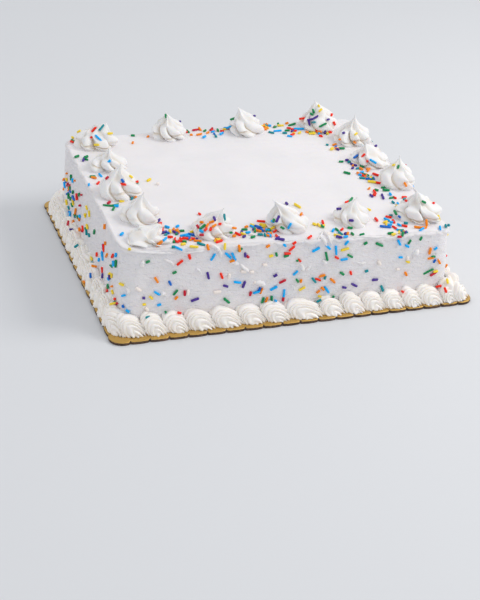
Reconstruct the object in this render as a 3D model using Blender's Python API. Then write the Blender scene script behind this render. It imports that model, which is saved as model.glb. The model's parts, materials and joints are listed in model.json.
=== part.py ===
"""A frosted sheet cake on its scalloped board, with piped rosettes round the top and shells at the foot."""
import math

import bmesh
import bpy
from mathutils import Vector

MM = 0.001

# Board: a flat card with a scalloped edge. World origin is the middle of its underside.
BOARD_WIDTH = 356 * MM
BOARD_DEPTH = 305 * MM
BOARD_THICKNESS = 3.2 * MM
BOARD_CORNER = 12 * MM
SCALLOP_PITCH = 17.9 * MM
NOTCH_DEPTH = 1.8 * MM
CORNER_STRETCH = 17 * MM
SCALLOP_STATIONS = (0.0, 0.15, 0.5, 0.85)
CORNER_STEPS = 5

# Touching pieces keep this much clear of each other.
GAP = 0.35 * MM

# Cake: sizes at the top edge, and how it lies on the board.
CAKE_LENGTH = 318.7 * MM
CAKE_WIDTH = 262.9 * MM
CAKE_CORNER = 15 * MM
TOP_EDGE_ROUND = 6 * MM
WALL_LEAN = 3 * MM
CAKE_PLACE = (-1.3 * MM, 1.3 * MM)
CAKE_TURN = math.radians(-1.0)
CAKE_FLOOR = BOARD_THICKNESS + GAP

# Height of the top above the board's underside at each corner: the front right corner has slumped.
TOP_FRONT_LEFT = 80.8 * MM
TOP_FRONT_RIGHT = 69.9 * MM
TOP_BACK_LEFT = 78.7 * MM
TOP_BACK_RIGHT = 80.2 * MM
TOP_MEAN = (TOP_FRONT_LEFT + TOP_FRONT_RIGHT + TOP_BACK_LEFT + TOP_BACK_RIGHT) / 4
WALL_HEIGHT = TOP_MEAN - CAKE_FLOOR
TOP_CUTS_LENGTH = 7
TOP_CUTS_WIDTH = 5

# Rosettes: a six-lobed swirl that ends in a thin tip.
LOBES = 6
ROSETTE_SIDES = 2 * LOBES
ROSETTE_RINGS = 10
LOBE_DEPTH = 0.08
SWIRL = math.radians(75)
TUCK_ANGLE = math.radians(110)
POINT_POWER = 3.5
RISE_POWER = 1.6
TIP_WIDTH = 0.05

# Each rosette: name, place on the cake, width, height, lean of its tip and turn (mm and degrees).
ROSETTES = (
    ("rosette_back_1", -131, 112, 42, 24, (8, 0), 10),
    ("rosette_back_2", -51, 122, 38, 26, (-3, 0), 35),
    ("rosette_back_3", 34, 121, 39, 26, (-8, 0), 5),
    ("rosette_back_4", 116, 119, 42, 28, (-3, 1), 50),
    ("rosette_right_1", 138, 77, 40, 29, (1, 0), 20),
    ("rosette_right_2", 137, 25, 42, 20, (-4, 0), 0),
    ("rosette_right_3", 146, -27, 38, 30, (-2, 0), 42),
    ("rosette_front_1", -133, -111, 36, 12, (13, 3), 15),
    ("rosette_front_2", -70, -105, 40, 23, (10, 0), 30),
    ("rosette_front_3", 3, -102, 39, 28, (-14, 0), 55),
    ("rosette_front_4", 67, -98, 36, 23, (5, 0), 25),
    ("rosette_front_5", 138, -98, 46, 27, (-5, 0), 5),
    ("rosette_left_1", -130, 52, 38, 20, (-1, 0), 28),
    ("rosette_left_2", -134, -10, 41, 30, (2, 0), 48),
    ("rosette_left_3", -129, -68, 37, 26, (5, 0), 12),
)

# Shell border: places along the front where one shell gives way to the next, in millimetres.
FRONT_SHELL_ENDS = (-173, -162, -141, -121, -100, -76, -51, -28, -4, 28, 50, 70, 91, 111, 128, 150, 164, 180)
BACK_REACH = 172 * MM
BACK_SHELLS = 17
SIDE_SHELLS = 15
SHELL_UNEVEN = 0.12
SHELL_STATIONS = (-1.0, -0.55, 0.0, 0.55)
SHELL_ARC_STEPS = 6
SHELL_SWEEP = 6 * MM
SWEEP_FADE = 0.25
ARC_RISE_POWER = 0.85
ARC_DEPTH_POWER = 0.75
VALLEY_HEIGHT = 0.78
VALLEY_DEPTH = 0.62
END_FULLNESS = -0.8

# Each border: depth of the shells at its two ends, then their height at its two ends. The shells near the
# two front corners are the tallest.
FRONT_BORDER = (13.5 * MM, 13.5 * MM, 15.5 * MM, 14 * MM)
RIGHT_BORDER = (16.0 * MM, 13.5 * MM, 20 * MM, 16 * MM)
BACK_BORDER = (13.0 * MM, 13.0 * MM, 15 * MM, 13 * MM)
LEFT_BORDER = (15.5 * MM, 11.2 * MM, 14 * MM, 19 * MM)

FROSTING_WHITE = (0.87, 0.86, 0.86, 1.0)
SHELL_CREAM = (0.90, 0.87, 0.82, 1.0)
BOARD_GOLD = (0.60, 0.38, 0.08, 1.0)


def clear_scene():
    for item in list(bpy.data.objects):
        bpy.data.objects.remove(item, do_unlink=True)


def finish(name, color, roughness, metallic=0.0):
    """A Principled material in one colour."""
    material = bpy.data.materials.new(name)
    material.use_nodes = True
    shader = material.node_tree.nodes["Principled BSDF"]
    shader.inputs["Base Color"].default_value = color
    shader.inputs["Roughness"].default_value = roughness
    shader.inputs["Metallic"].default_value = metallic
    return material


def place(item, collection, material, parent=None):
    collection.objects.link(item)
    item.data.materials.append(material)
    item.parent = parent
    return item


def from_bmesh(name, bm, smooth_angle):
    """Close off a bmesh as a named object, smooth but for edges sharper than smooth_angle."""
    mesh = bpy.data.meshes.new(name)
    bm.to_mesh(mesh)
    bm.free()
    mesh.shade_smooth()
    mesh.set_sharp_from_angle(angle=math.radians(smooth_angle))
    return bpy.data.objects.new(name, mesh)


def scallop_inset(t):
    """Inset of the edge at t along one scallop: full at the notches, none at the crest."""
    return NOTCH_DEPTH * (1 - math.sqrt(math.sin(math.pi * t)))


def board_side(length):
    """One side of the board and the corner after it, as (distance along, inset) pairs."""
    count = round((length - 2 * CORNER_STRETCH) / SCALLOP_PITCH)
    pitch = (length - 2 * CORNER_STRETCH) / count
    shoulder = SCALLOP_STATIONS[1]
    points = [(BOARD_CORNER, 0.0), (CORNER_STRETCH - shoulder * pitch, scallop_inset(shoulder))]
    for i in range(count):
        for t in SCALLOP_STATIONS:
            points.append((CORNER_STRETCH + (i + t) * pitch, scallop_inset(t)))
    points.append((length - CORNER_STRETCH, NOTCH_DEPTH))
    points.append((length - CORNER_STRETCH + shoulder * pitch, scallop_inset(shoulder)))
    for i in range(CORNER_STEPS):
        angle = math.radians(90) * i / CORNER_STEPS
        along = length - BOARD_CORNER * (1 - math.sin(angle))
        points.append((along, BOARD_CORNER * (1 - math.cos(angle))))
    return points


def board_outline():
    """The four sides joined into one closed outline, anticlockwise from the front left corner."""
    outline = []
    corner = Vector((-BOARD_WIDTH / 2, -BOARD_DEPTH / 2))
    heading = Vector((1.0, 0.0))
    for length in (BOARD_WIDTH, BOARD_DEPTH, BOARD_WIDTH, BOARD_DEPTH):
        inward = Vector((-heading.y, heading.x))
        outline += [corner + heading * along + inward * inset for along, inset in board_side(length)]
        corner = corner + heading * length
        heading = inward
    return outline


def cake_board():
    """A flat curve through the outline, thickened by half its thickness each way."""
    curve = bpy.data.curves.new("cake_board", "CURVE")
    curve.dimensions = "2D"
    curve.fill_mode = "BOTH"
    curve.extrude = BOARD_THICKNESS / 2
    outline = board_outline()
    spline = curve.splines.new("POLY")
    spline.points.add(len(outline) - 1)
    for point, at in zip(spline.points, outline):
        point.co = (at.x, at.y, 0.0, 1.0)
    spline.use_cyclic_u = True
    board = bpy.data.objects.new("cake_board", curve)
    board.location.z = BOARD_THICKNESS / 2
    return board


def top_height(x, y):
    """Height of the cake's top at a place on the cake, blended between the four corners."""
    across = x / CAKE_LENGTH + 0.5
    back = y / CAKE_WIDTH + 0.5
    front_side = TOP_FRONT_LEFT * (1 - across) + TOP_FRONT_RIGHT * across
    back_side = TOP_BACK_LEFT * (1 - across) + TOP_BACK_RIGHT * across
    return front_side * (1 - back) + back_side * back


def settle(co):
    """Take a point of the even block to its place: the top follows the corners, the walls lean out."""
    rise = co.z / WALL_HEIGHT
    z = CAKE_FLOOR + rise * (top_height(co.x, co.y) - CAKE_FLOOR)
    lean = WALL_LEAN * (1 - (z - CAKE_FLOOR) / WALL_HEIGHT)
    x = co.x * (1 + lean / (CAKE_LENGTH / 2))
    y = co.y * (1 + lean / (CAKE_WIDTH / 2))
    return Vector((x, y, z))


def cake_body():
    """A block with rounded corners and top edge, cut into panels and settled onto its four heights."""
    bm = bmesh.new()
    bmesh.ops.create_cube(bm, size=1.0)
    for v in bm.verts:
        v.co = Vector((v.co.x * CAKE_LENGTH, v.co.y * CAKE_WIDTH, (v.co.z + 0.5) * WALL_HEIGHT))
    upright = [e for e in bm.edges if abs(e.verts[0].co.z - e.verts[1].co.z) > WALL_HEIGHT / 2]
    bmesh.ops.bevel(bm, geom=upright, offset=CAKE_CORNER, segments=5, profile=0.5, affect="EDGES")
    rim = [e for e in bm.edges if min(v.co.z for v in e.verts) > WALL_HEIGHT / 2]
    bmesh.ops.bevel(bm, geom=rim, offset=TOP_EDGE_ROUND, segments=3, profile=0.5, affect="EDGES")
    cuts = [(CAKE_LENGTH * ((i + 1) / (TOP_CUTS_LENGTH + 1) - 0.5), Vector((1, 0, 0)))
            for i in range(TOP_CUTS_LENGTH)]
    cuts += [(CAKE_WIDTH * ((i + 1) / (TOP_CUTS_WIDTH + 1) - 0.5), Vector((0, 1, 0)))
             for i in range(TOP_CUTS_WIDTH)]
    for distance, normal in cuts:
        everything = bm.verts[:] + bm.edges[:] + bm.faces[:]
        bmesh.ops.bisect_plane(bm, geom=everything, plane_co=normal * distance, plane_no=normal)
    for v in bm.verts:
        v.co = settle(v.co)
    return from_bmesh("cake_body", bm, 50)


def rosette(name, x, y, width, height, lean, turn):
    """A swirl shaped from a ball: lobed rings that swell near the base and draw up to a leaning tip.

    From the tip (0) to the rim of the base (1) an angle runs from 0 to TUCK_ANGLE. The radius follows
    its sine and the height its cosine, each raised to a power, so that the side curves in to a point.
    """
    x, y, radius, height = x * MM, y * MM, width * MM / 2, height * MM
    lean = Vector(lean) * MM
    turn = math.radians(turn)
    bm = bmesh.new()
    bmesh.ops.create_uvsphere(bm, u_segments=ROSETTE_SIDES, v_segments=ROSETTE_RINGS, radius=1.0)
    rim_ring = ROSETTE_RINGS - 1
    base = top_height(x, y)
    for v in bm.verts:
        ring = round(math.acos(max(-1.0, min(1.0, v.co.z))) / math.pi * ROSETTE_RINGS)
        side = math.atan2(v.co.y, v.co.x)
        down = min(ring / rim_ring, 1.0)
        angle = down * TUCK_ANGLE
        swell = max(math.sin(angle) ** POINT_POWER, TIP_WIDTH)
        rise = ((math.cos(angle) - math.cos(TUCK_ANGLE)) / (1 - math.cos(TUCK_ANGLE))) ** RISE_POWER
        if ring in (0, ROSETTE_RINGS):
            swell = 0.0
        lobe = 1 - LOBE_DEPTH * (1 - math.cos(LOBES * side))
        facing = side + turn + SWIRL * down
        px = x + lean.x * rise ** 2 + radius * swell * lobe * math.cos(facing)
        py = y + lean.y * rise ** 2 + radius * swell * lobe * math.sin(facing)
        foot = top_height(px, py) * (1 - rise) + base * rise
        v.co = Vector((px, py, foot + GAP + height * rise))
    return from_bmesh(name, bm, 60)


def even_shells(start, end, count):
    """Shell ends along a side, each a little off its even place."""
    step = (end - start) / count
    ends = [start + step * (i + SHELL_UNEVEN * math.sin(2.3 * i)) for i in range(count + 1)]
    ends[0], ends[-1] = start, end
    return ends


def border_stations(ends):
    """Sections along a border as (distance along, how full the shell is there)."""
    stations = []
    for start, end in zip(ends, ends[1:]):
        for u in SHELL_STATIONS:
            stations.append((start + (end - start) * (u + 1) / 2, math.sqrt(1 - u * u)))
    stations[0] = (ends[0], END_FULLNESS)
    stations.append((ends[-1], END_FULLNESS))
    return stations


def shell_border(name, ends, sizes, foot, facing):
    """A row of shells against one wall, shaped from a closed tube that lies along the wall.

    sizes gives the shells' depth at the two ends and their height at the two ends. Each section is a flat
    back on the wall and a quarter arc from the foot of the shell up to the wall, swept along lower down.
    """
    first_depth, last_depth, first_height, last_height = sizes
    stations = border_stations(ends)
    count = len(stations) - 1
    segments = SHELL_ARC_STEPS + 2
    bm = bmesh.new()
    bmesh.ops.create_cone(bm, cap_ends=True, segments=segments, radius1=1.0, radius2=1.0, depth=1.0)
    long_edges = [e for e in bm.edges if abs(e.verts[0].co.z - e.verts[1].co.z) > 0.5]
    bmesh.ops.subdivide_edges(bm, edges=long_edges, cuts=count - 1, use_grid_fill=True)
    along_wall = Vector((math.cos(facing), math.sin(facing), 0.0))
    outward = Vector((math.sin(facing), -math.cos(facing), 0.0))
    span = ends[-1] - ends[0]
    for v in bm.verts:
        along, full = stations[round((0.5 - v.co.z) * count)]
        share = (along - ends[0]) / span
        point = round(math.atan2(v.co.y, v.co.x) / (2 * math.pi) * segments) % segments
        tall = first_height + (last_height - first_height) * share
        tall *= VALLEY_HEIGHT + (1 - VALLEY_HEIGHT) * full
        deep = first_depth + (last_depth - first_depth) * share
        deep *= VALLEY_DEPTH + (1 - VALLEY_DEPTH) * full
        arc = math.radians(90) * (point - 1) / SHELL_ARC_STEPS
        out, up = 0.0, 0.0
        if point > 0:
            up = tall * max(math.sin(arc), 0.0) ** ARC_RISE_POWER
            out = deep * max(math.cos(arc), 0.0) ** ARC_DEPTH_POWER
        sweep = SHELL_SWEEP * (1 - up / tall) * math.sin(math.pi * share) ** SWEEP_FADE
        wall = foot + GAP + out - WALL_LEAN * up / WALL_HEIGHT
        v.co = along_wall * (along + sweep) + outward * wall + Vector((0, 0, CAKE_FLOOR + up))
    return from_bmesh(name, bm, 60)


def build():
    clear_scene()
    collection = bpy.data.collections.new("sheet_cake")
    bpy.context.scene.collection.children.link(collection)
    cake_place = bpy.data.objects.new("cake_place", None)
    cake_place.location = (*CAKE_PLACE, 0.0)
    cake_place.rotation_euler.z = CAKE_TURN
    collection.objects.link(cake_place)

    place(cake_board(), collection, finish("cake_board", BOARD_GOLD, 0.35, 0.6))
    place(cake_body(), collection, finish("cake_body", FROSTING_WHITE, 0.55), cake_place)
    for row in ROSETTES:
        place(rosette(*row), collection, finish(row[0], FROSTING_WHITE, 0.5), cake_place)

    side_foot = CAKE_LENGTH / 2 + WALL_LEAN
    end_foot = CAKE_WIDTH / 2 + WALL_LEAN
    front_ends = [end * MM for end in FRONT_SHELL_ENDS]
    side_end = end_foot - WALL_LEAN / 2
    side_ends = even_shells(-side_end, side_end, SIDE_SHELLS)
    back_ends = even_shells(-BACK_REACH, BACK_REACH, BACK_SHELLS)
    borders = (
        ("border_front", front_ends, FRONT_BORDER, end_foot, 0),
        ("border_right", side_ends, RIGHT_BORDER, side_foot, 90),
        ("border_back", back_ends, BACK_BORDER, end_foot, 180),
        ("border_left", side_ends, LEFT_BORDER, side_foot, 270),
    )
    for name, ends, sizes, foot, facing in borders:
        border = shell_border(name, ends, sizes, foot, math.radians(facing))
        place(border, collection, finish(name, SHELL_CREAM, 0.5), cake_place)


build()
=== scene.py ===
"""The finish of a frosted sheet cake: its cream, rosettes, shell borders, sugar strands and gold board."""
import json
import math

import bpy
import numpy as np
from bpy.props import FloatProperty, FloatVectorProperty, IntProperty, PointerProperty
from mathutils import Matrix, Vector

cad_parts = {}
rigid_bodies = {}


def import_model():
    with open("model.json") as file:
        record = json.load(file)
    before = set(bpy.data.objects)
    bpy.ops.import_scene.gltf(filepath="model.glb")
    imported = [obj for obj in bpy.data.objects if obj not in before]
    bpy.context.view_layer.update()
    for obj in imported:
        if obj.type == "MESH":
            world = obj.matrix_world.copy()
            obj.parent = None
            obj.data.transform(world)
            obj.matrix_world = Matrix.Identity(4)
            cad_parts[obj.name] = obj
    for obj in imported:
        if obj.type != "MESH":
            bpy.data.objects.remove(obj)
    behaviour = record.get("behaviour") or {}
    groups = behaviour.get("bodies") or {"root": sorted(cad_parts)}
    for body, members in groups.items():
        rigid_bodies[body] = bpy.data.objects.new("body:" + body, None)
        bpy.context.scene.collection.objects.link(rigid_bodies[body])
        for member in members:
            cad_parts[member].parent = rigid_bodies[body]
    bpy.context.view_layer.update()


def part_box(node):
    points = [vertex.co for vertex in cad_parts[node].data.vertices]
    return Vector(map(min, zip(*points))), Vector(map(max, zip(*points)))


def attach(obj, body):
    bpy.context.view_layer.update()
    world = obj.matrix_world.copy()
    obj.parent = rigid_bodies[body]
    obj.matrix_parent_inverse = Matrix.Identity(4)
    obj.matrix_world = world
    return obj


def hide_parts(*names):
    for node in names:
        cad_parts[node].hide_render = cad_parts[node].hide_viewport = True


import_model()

bl_info = {
    "name": "Frosted Sheet Cake",
    "version": (1, 0, 0),
    "blender": (4, 5, 0),
    "location": "View3D > Sidebar > Cake",
    "description": "Pipes, frosts and decorates a sheet cake on its board",
    "category": "Add Mesh",
}

MM = 0.001
BODY = "root"

# The cake lies on the board a little turned and off the middle, and its four top corners differ in height.
CAKE_PLACE = (-1.3 * MM, 1.3 * MM)
CAKE_TURN = math.radians(-1.0)
TOP_CORNERS = {"front": (80.8 * MM, 69.9 * MM), "back": (78.7 * MM, 80.2 * MM)}

# Where one shell gives way to the next along the front, from left to right, in millimetres.
FRONT_SHELL_ENDS = (
    -173, -162, -141, -121, -100, -76, -51, -28, -4, 28, 50, 70, 91, 111, 128, 150, 164, 180,
)
BACK_REACH = 172 * MM
BACK_SHELLS = 17
SIDE_SHELLS = 15
SHELL_UNEVEN = 0.12

# Each border: facing of its wall in degrees, then depth and height of its shells at the first and last, and
# the width, depth and height of the corner shells at its two ends, where it has them.
BORDERS = {
    "front": (0, (15.5, 14.5), (15, 14), ((21, 16, 19), (20, 23, 18))),
    "right": (90, (14.2, 12.6), (18, 16), ()),
    "back": (180, (13.0, 13.0), (15, 13), ((21, 17, 17), (21, 17, 16))),
    "left": (270, (14.2, 10.6), (14, 18), ()),
}

# Each rosette: lean of its tip in mm along X and Y, turn and twist in degrees, number of lobes, how thinly
# its tip is drawn out, and the depth of its folds in mm.
ROSETTES = {
    "back_1": ((12, -2), 10, 40, 5, 2.1, 1.9),
    "back_2": ((-3, 0), 35, 60, 6, 3.0, 0.8),
    "back_3": ((-10, 0), 5, 75, 5, 2.7, 0.9),
    "back_4": ((-6, 1), 50, 45, 5, 2.4, 1.3),
    "right_1": ((1, 0), 20, 50, 6, 3.6, 0.5),
    "right_2": ((-6, 0), 0, 60, 5, 2.1, 1.6),
    "right_3": ((-1, 0), 42, 55, 5, 3.8, 0.6),
    "front_1": ((13, 3), 15, 70, 6, 1.5, 2.9),
    "front_2": ((10, 0), 30, 55, 6, 2.7, 1.3),
    "front_3": ((-16, 0), 55, 60, 5, 2.9, 1.0),
    "front_4": ((5, 0), 25, 50, 6, 2.8, 0.9),
    "front_5": ((-6, 0), 5, 65, 5, 2.7, 1.6),
    "left_1": ((0, 0), 28, 50, 5, 2.9, 1.1),
    "left_2": ((1, 0), 48, 45, 5, 2.9, 0.9),
    "left_3": ((4, 0), 12, 50, 5, 3.2, 0.8),
}

PHOTO_WIDTH = 480
PHOTO_HEIGHT = 600


def length_setting(name, description, default):
    """A size in metres that a user may change."""
    return FloatProperty(name=name, description=description, default=default,
                         subtype="DISTANCE", unit="LENGTH")


def colour_setting(name, description, default):
    """A colour that a user may change."""
    return FloatVectorProperty(name=name, description=description, default=(*default, 1.0), size=4,
                               subtype="COLOR", min=0.0, max=1.0)


def share_setting(name, description, default):
    """A share of something, from 0 to 1."""
    return FloatProperty(name=name, description=description, default=default,
                         min=0.0, max=1.0, subtype="FACTOR")


class CakeBodySettings(bpy.types.PropertyGroup):
    length: length_setting("Length", "Length of the cake at its top edge", 318.7 * MM)
    width: length_setting("Width", "Width of the cake at its top edge", 262.9 * MM)
    corner: length_setting("Corner radius", "Radius of the upright corners", 15 * MM)
    edge: length_setting("Edge radius", "Radius of the top edge", 2.2 * MM)
    lean: length_setting("Wall lean", "How far the walls lean out at the foot", 3 * MM)
    floor: length_setting("Floor", "Height at which the cake starts", 3.55 * MM)
    streaks: length_setting("Streak depth", "Depth of the spatula streaks on the top", 0.12 * MM)
    dents: length_setting("Rim dents", "Depth of the dents along the top edge", 0.9 * MM)
    lip: length_setting("Lip", "How far the ragged top edge stands out over the wall", 1.0 * MM)
    colour: colour_setting("Frosting", "Colour of the smooth frosting", (0.885, 0.857, 0.872))
    shade: colour_setting("Frosting shade", "Colour of its darker patches", (0.84, 0.825, 0.84))


class RosetteSettings(bpy.types.PropertyGroup):
    lobe_depth: share_setting("Lobe depth", "Depth of the grooves, as a share of the radius", 0.36)
    fold: share_setting("Fold", "How far each lobe leans over the groove beside it", 0.3)
    colour: colour_setting("Cream", "Colour of the rosettes", (0.90, 0.89, 0.885))
    # Painted shade: the warm darker colour laid deep in the rosettes' grooves and creases, partly the
    # cream's own tint.
    groove: colour_setting("Groove", "Colour deep in the grooves", (0.72, 0.59, 0.42))


class ShellSettings(bpy.types.PropertyGroup):
    ridges: IntProperty(name="Ridges", description="Ridges from the eye of a shell to the wall",
                        default=5, min=2)
    ridge_depth: share_setting("Ridge depth", "Depth of a ridge, as a share of the shell's size", 0.19)
    colour: colour_setting("Cream", "Colour of the shells", (0.99, 0.955, 0.915))
    # Painted shade: the warm darker colour laid between the shells' ridges, partly the cream's own tint.
    groove: colour_setting("Groove", "Colour deep between the ridges", (0.91, 0.81, 0.67))


class StrandSettings(bpy.types.PropertyGroup):
    thickness: length_setting("Thickness", "Thickness of a sugar strand", 2.4 * MM)
    shortest: length_setting("Shortest", "Length of the shortest loose strand", 3.5 * MM)
    longest: length_setting("Longest", "Length of the longest loose strand", 7.5 * MM)
    sink: share_setting("Sink", "How deep a strand sits in the cream, as a share of its thickness", 0.14)
    pale_sink: share_setting("Sink under cream", "The same for a strand under a film of cream", 0.3)
    scatter: IntProperty(name="Scatter", description="Seed of the loose scatter", default=7, min=0)


class SmearSettings(bpy.types.PropertyGroup):
    colour: colour_setting("Cream", "Colour of the smears", (0.89, 0.87, 0.87))
    shade: colour_setting("Shade", "Colour in the hollows of the smears", (0.80, 0.76, 0.72))


class BoardSettings(bpy.types.PropertyGroup):
    width: length_setting("Width", "Length of the front edge of the board", 356 * MM)
    depth: length_setting("Depth", "Length of the side edge of the board", 305 * MM)
    thickness: length_setting("Thickness", "Thickness of the board", 3.2 * MM)
    corner: length_setting("Corner radius", "Radius of the board's corners", 12 * MM)
    pitch: length_setting("Scallop pitch", "Length of one scallop", 17.9 * MM)
    notch: length_setting("Notch depth", "Depth of the notch between scallops", 2.3 * MM)
    stretch: length_setting("Corner stretch", "Distance from a corner to its first notch", 17 * MM)
    gold: colour_setting("Gold", "Colour of the foil", (0.62, 0.38, 0.09))
    edge: colour_setting("Edge", "Colour of the cut edge", (0.05, 0.028, 0.018))


class StageSettings(bpy.types.PropertyGroup):
    floor: colour_setting("Floor", "Colour of the floor", (0.74, 0.755, 0.78))
    sky: FloatProperty(name="Soft light", description="Strength of the light from all round",
                       default=0.77, min=0.0)
    key: FloatProperty(name="Key light", description="Power of the light from the right",
                       default=9.8, min=0.0, unit="POWER")
    lens: FloatProperty(name="Lens", description="Focal length of the camera in mm", default=82.66, min=1.0)


class SheetCakeSettings(bpy.types.PropertyGroup):
    body: PointerProperty(type=CakeBodySettings, name="Frosting", description="The frosted block")
    rosettes: PointerProperty(type=RosetteSettings, name="Rosettes", description="The piped rosettes")
    shells: PointerProperty(type=ShellSettings, name="Shells", description="The piped borders")
    strands: PointerProperty(type=StrandSettings, name="Strands", description="The sugar strands")
    smears: PointerProperty(type=SmearSettings, name="Smears", description="The smears on the walls")
    board: PointerProperty(type=BoardSettings, name="Board", description="The gold board")
    stage: PointerProperty(type=StageSettings, name="Stage", description="Floor, light and camera")


# Surfaces

WAVES = 14
WAVE_SPREAD = (0.7, 1.4)


def ripple(points, wavelength, seed, stretch=(1.0, 1.0, 1.0)):
    """Smooth noise from about -1 to 1: a sum of sines along random directions with random phases.

    Their wavelengths lie near the one given, and stretch draws the noise out along X, Y or Z.
    """
    rng = np.random.default_rng(seed)
    directions = rng.normal(size=(WAVES, 3))
    directions /= np.linalg.norm(directions, axis=1, keepdims=True)
    turns = 2 * np.pi / (wavelength * rng.uniform(*WAVE_SPREAD, WAVES))
    phases = rng.uniform(0, 2 * np.pi, WAVES)
    scaled = np.asarray(points) / np.asarray(stretch)
    return np.sin(scaled @ directions.T * turns + phases).sum(-1) / math.sqrt(2 * WAVES)


def ease(value, low, high):
    """0 below low, 1 above high and a smooth rise between."""
    t = np.clip((value - low) / (high - low), 0, 1)
    return t * t * (3 - 2 * t)


def ring_faces(index):
    """Quads between the rows of an index grid whose rows close on themselves."""
    onward = np.roll(index, -1, axis=1)
    return np.stack([index[:-1], index[1:], onward[1:], onward[:-1]], -1).reshape(-1, 4)


def closed_skin(rings):
    """Points and faces of a surface given as rings (ring, place round it, xyz), with the middle of each end
    ring added as a pole that closes it."""
    count, sides = rings.shape[:2]
    index = np.arange(count * sides).reshape(count, sides)
    points = np.concatenate([rings.reshape(-1, 3), rings[:1].mean(1), rings[-1:].mean(1)])
    first, last = count * sides, count * sides + 1
    start, end = index[0], index[-1]
    caps = np.concatenate([
        np.stack([np.full(sides, first), start, np.roll(start, -1)], -1),
        np.stack([np.full(sides, last), np.roll(end, -1), end], -1),
    ])
    return points, ring_faces(index), caps


def with_poles(values, first=0.0, last=0.0):
    """Values for the points of a closed skin, with those of its two poles added."""
    return np.concatenate([values.ravel(), [first, last]])


def join_skins(skins):
    """Many (points, quads, triangles) sets as one set."""
    starts = np.cumsum([0] + [len(points) for points, _, _ in skins[:-1]])
    points = np.concatenate([points for points, _, _ in skins])
    quads = np.concatenate([quads + start for (_, quads, _), start in zip(skins, starts)])
    caps = np.concatenate([caps + start for (_, _, caps), start in zip(skins, starts)])
    return points, quads, caps


def enclosed(points, faces):
    """Six times the volume that the faces enclose, positive where they face outwards."""
    total = 0.0
    first = points[faces[:, 0]]
    for corner in range(1, faces.shape[1] - 1):
        total += np.sum(first * np.cross(points[faces[:, corner]], points[faces[:, corner + 1]]))
    return total


def mesh_from(name, points, face_sets, attributes):
    """A smooth mesh from an array of points and arrays of faces, turned so that these point outwards."""
    if sum(enclosed(points, faces) for faces in face_sets) < 0:
        face_sets = [faces[:, ::-1] for faces in face_sets]
    corners = np.concatenate([faces.ravel() for faces in face_sets])
    sizes = np.concatenate([np.full(len(faces), faces.shape[1]) for faces in face_sets])
    starts = np.concatenate([[0], np.cumsum(sizes)[:-1]])
    mesh = bpy.data.meshes.new(name)
    mesh.vertices.add(len(points))
    mesh.vertices.foreach_set("co", points.astype(np.float32).ravel())
    mesh.loops.add(len(corners))
    mesh.loops.foreach_set("vertex_index", corners.astype(np.int32))
    mesh.polygons.add(len(sizes))
    mesh.polygons.foreach_set("loop_start", starts.astype(np.int32))
    mesh.update(calc_edges=True)
    for key, values in attributes.items():
        attribute = mesh.attributes.new(key, "FLOAT", "POINT")
        attribute.data.foreach_set("value", values.astype(np.float32).ravel())
    mesh.shade_smooth()
    return mesh


def add_piece(name, points, face_sets, material, slot, nodes=(), **attributes):
    """Put a finished surface in the scene, riding on the cake and standing for the nodes named."""
    mesh = mesh_from(name, points, face_sets, attributes)
    mesh.materials.append(material)
    piece = bpy.data.objects.new(name, mesh)
    bpy.context.scene.collection.objects.link(piece)
    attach(piece, BODY)
    if nodes:
        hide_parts(*nodes)
    return piece


def onto_board(points):
    """Points of the cake's own frame at their place on the board: a turn about Z, then a shift."""
    cos, sin = math.cos(CAKE_TURN), math.sin(CAKE_TURN)
    x = points[..., 0] * cos - points[..., 1] * sin + CAKE_PLACE[0]
    y = points[..., 0] * sin + points[..., 1] * cos + CAKE_PLACE[1]
    return np.stack([x, y, points[..., 2]], -1)


def wall_directions(facing):
    """The direction along a wall and the one out from it, for its facing in degrees."""
    turn = math.radians(facing)
    return np.array([math.cos(turn), math.sin(turn)]), np.array([math.sin(turn), -math.cos(turn)])


def top_height(x, y, body):
    """Height of the cake's top at a place in its own frame, blended between the four corners."""
    across = x / body.length + 0.5
    back = y / body.width + 0.5
    front_side = TOP_CORNERS["front"][0] * (1 - across) + TOP_CORNERS["front"][1] * across
    back_side = TOP_CORNERS["back"][0] * (1 - across) + TOP_CORNERS["back"][1] * across
    return front_side * (1 - back) + back_side * back


# Finishes

# Fineness of each pattern in a finish, as the scale of its noise.
FROSTING_PATCHES = 22.0
SPATULA_STREAKS = 260.0
DRAG_MARKS = 420.0
SCRATCHES = 520.0
FROSTING_GRAIN = 1300.0
PITS = 230.0
CREAM_PATCHES = 90.0
CREAM_GRAIN = 1500.0
SUGAR_PATCHES = 260.0
SUGAR_GRAIN = 2200.0
FOIL_TONES = 60.0
FOIL_FLECKS = 420.0
CARD_MOTTLE = 330.0
CARD_WEAVE = 900.0

# How far each pattern stands out, in metres.
STREAK_RELIEF = 0.25 * MM
DRAG_RELIEF = 0.9 * MM
SCRATCH_RELIEF = 0.8 * MM
PIT_RELIEF = 0.5 * MM
GRAIN_RELIEF = 0.4 * MM
CREAM_RELIEF = 0.12 * MM
SUGAR_RELIEF = 0.06 * MM
WEAVE_RELIEF = 0.2 * MM

# The values between which noise mostly lies, and a narrower band about its middle.
NOISE_SPAN = (0.3, 0.7)
NOISE_MIDDLE = (0.35, 0.65)

STREAK_STRETCH = (0.06, 1.0, 1.0)
STREAK_TURN = math.radians(4)
DRAG_STRETCH = (0.5, 0.5, 1.0)
SCRATCH_STRETCH = (0.25, 0.5, 1.0)
SCRATCH_TILT = math.radians(38)
PIT_WIDTH = 0.22

CREAM_GLOW = (1.0, 0.8, 0.55)
CREAM_GLOW_DEPTH = 2.5 * MM
FROSTING_SUBSURFACE = 0.1
PIPED_SUBSURFACE = 0.12
SUGAR_FADE = 0.55
FOIL_SHADE = 0.72
CARD_LIFT = 3.4
FOIL_METAL = 0.55


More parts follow.
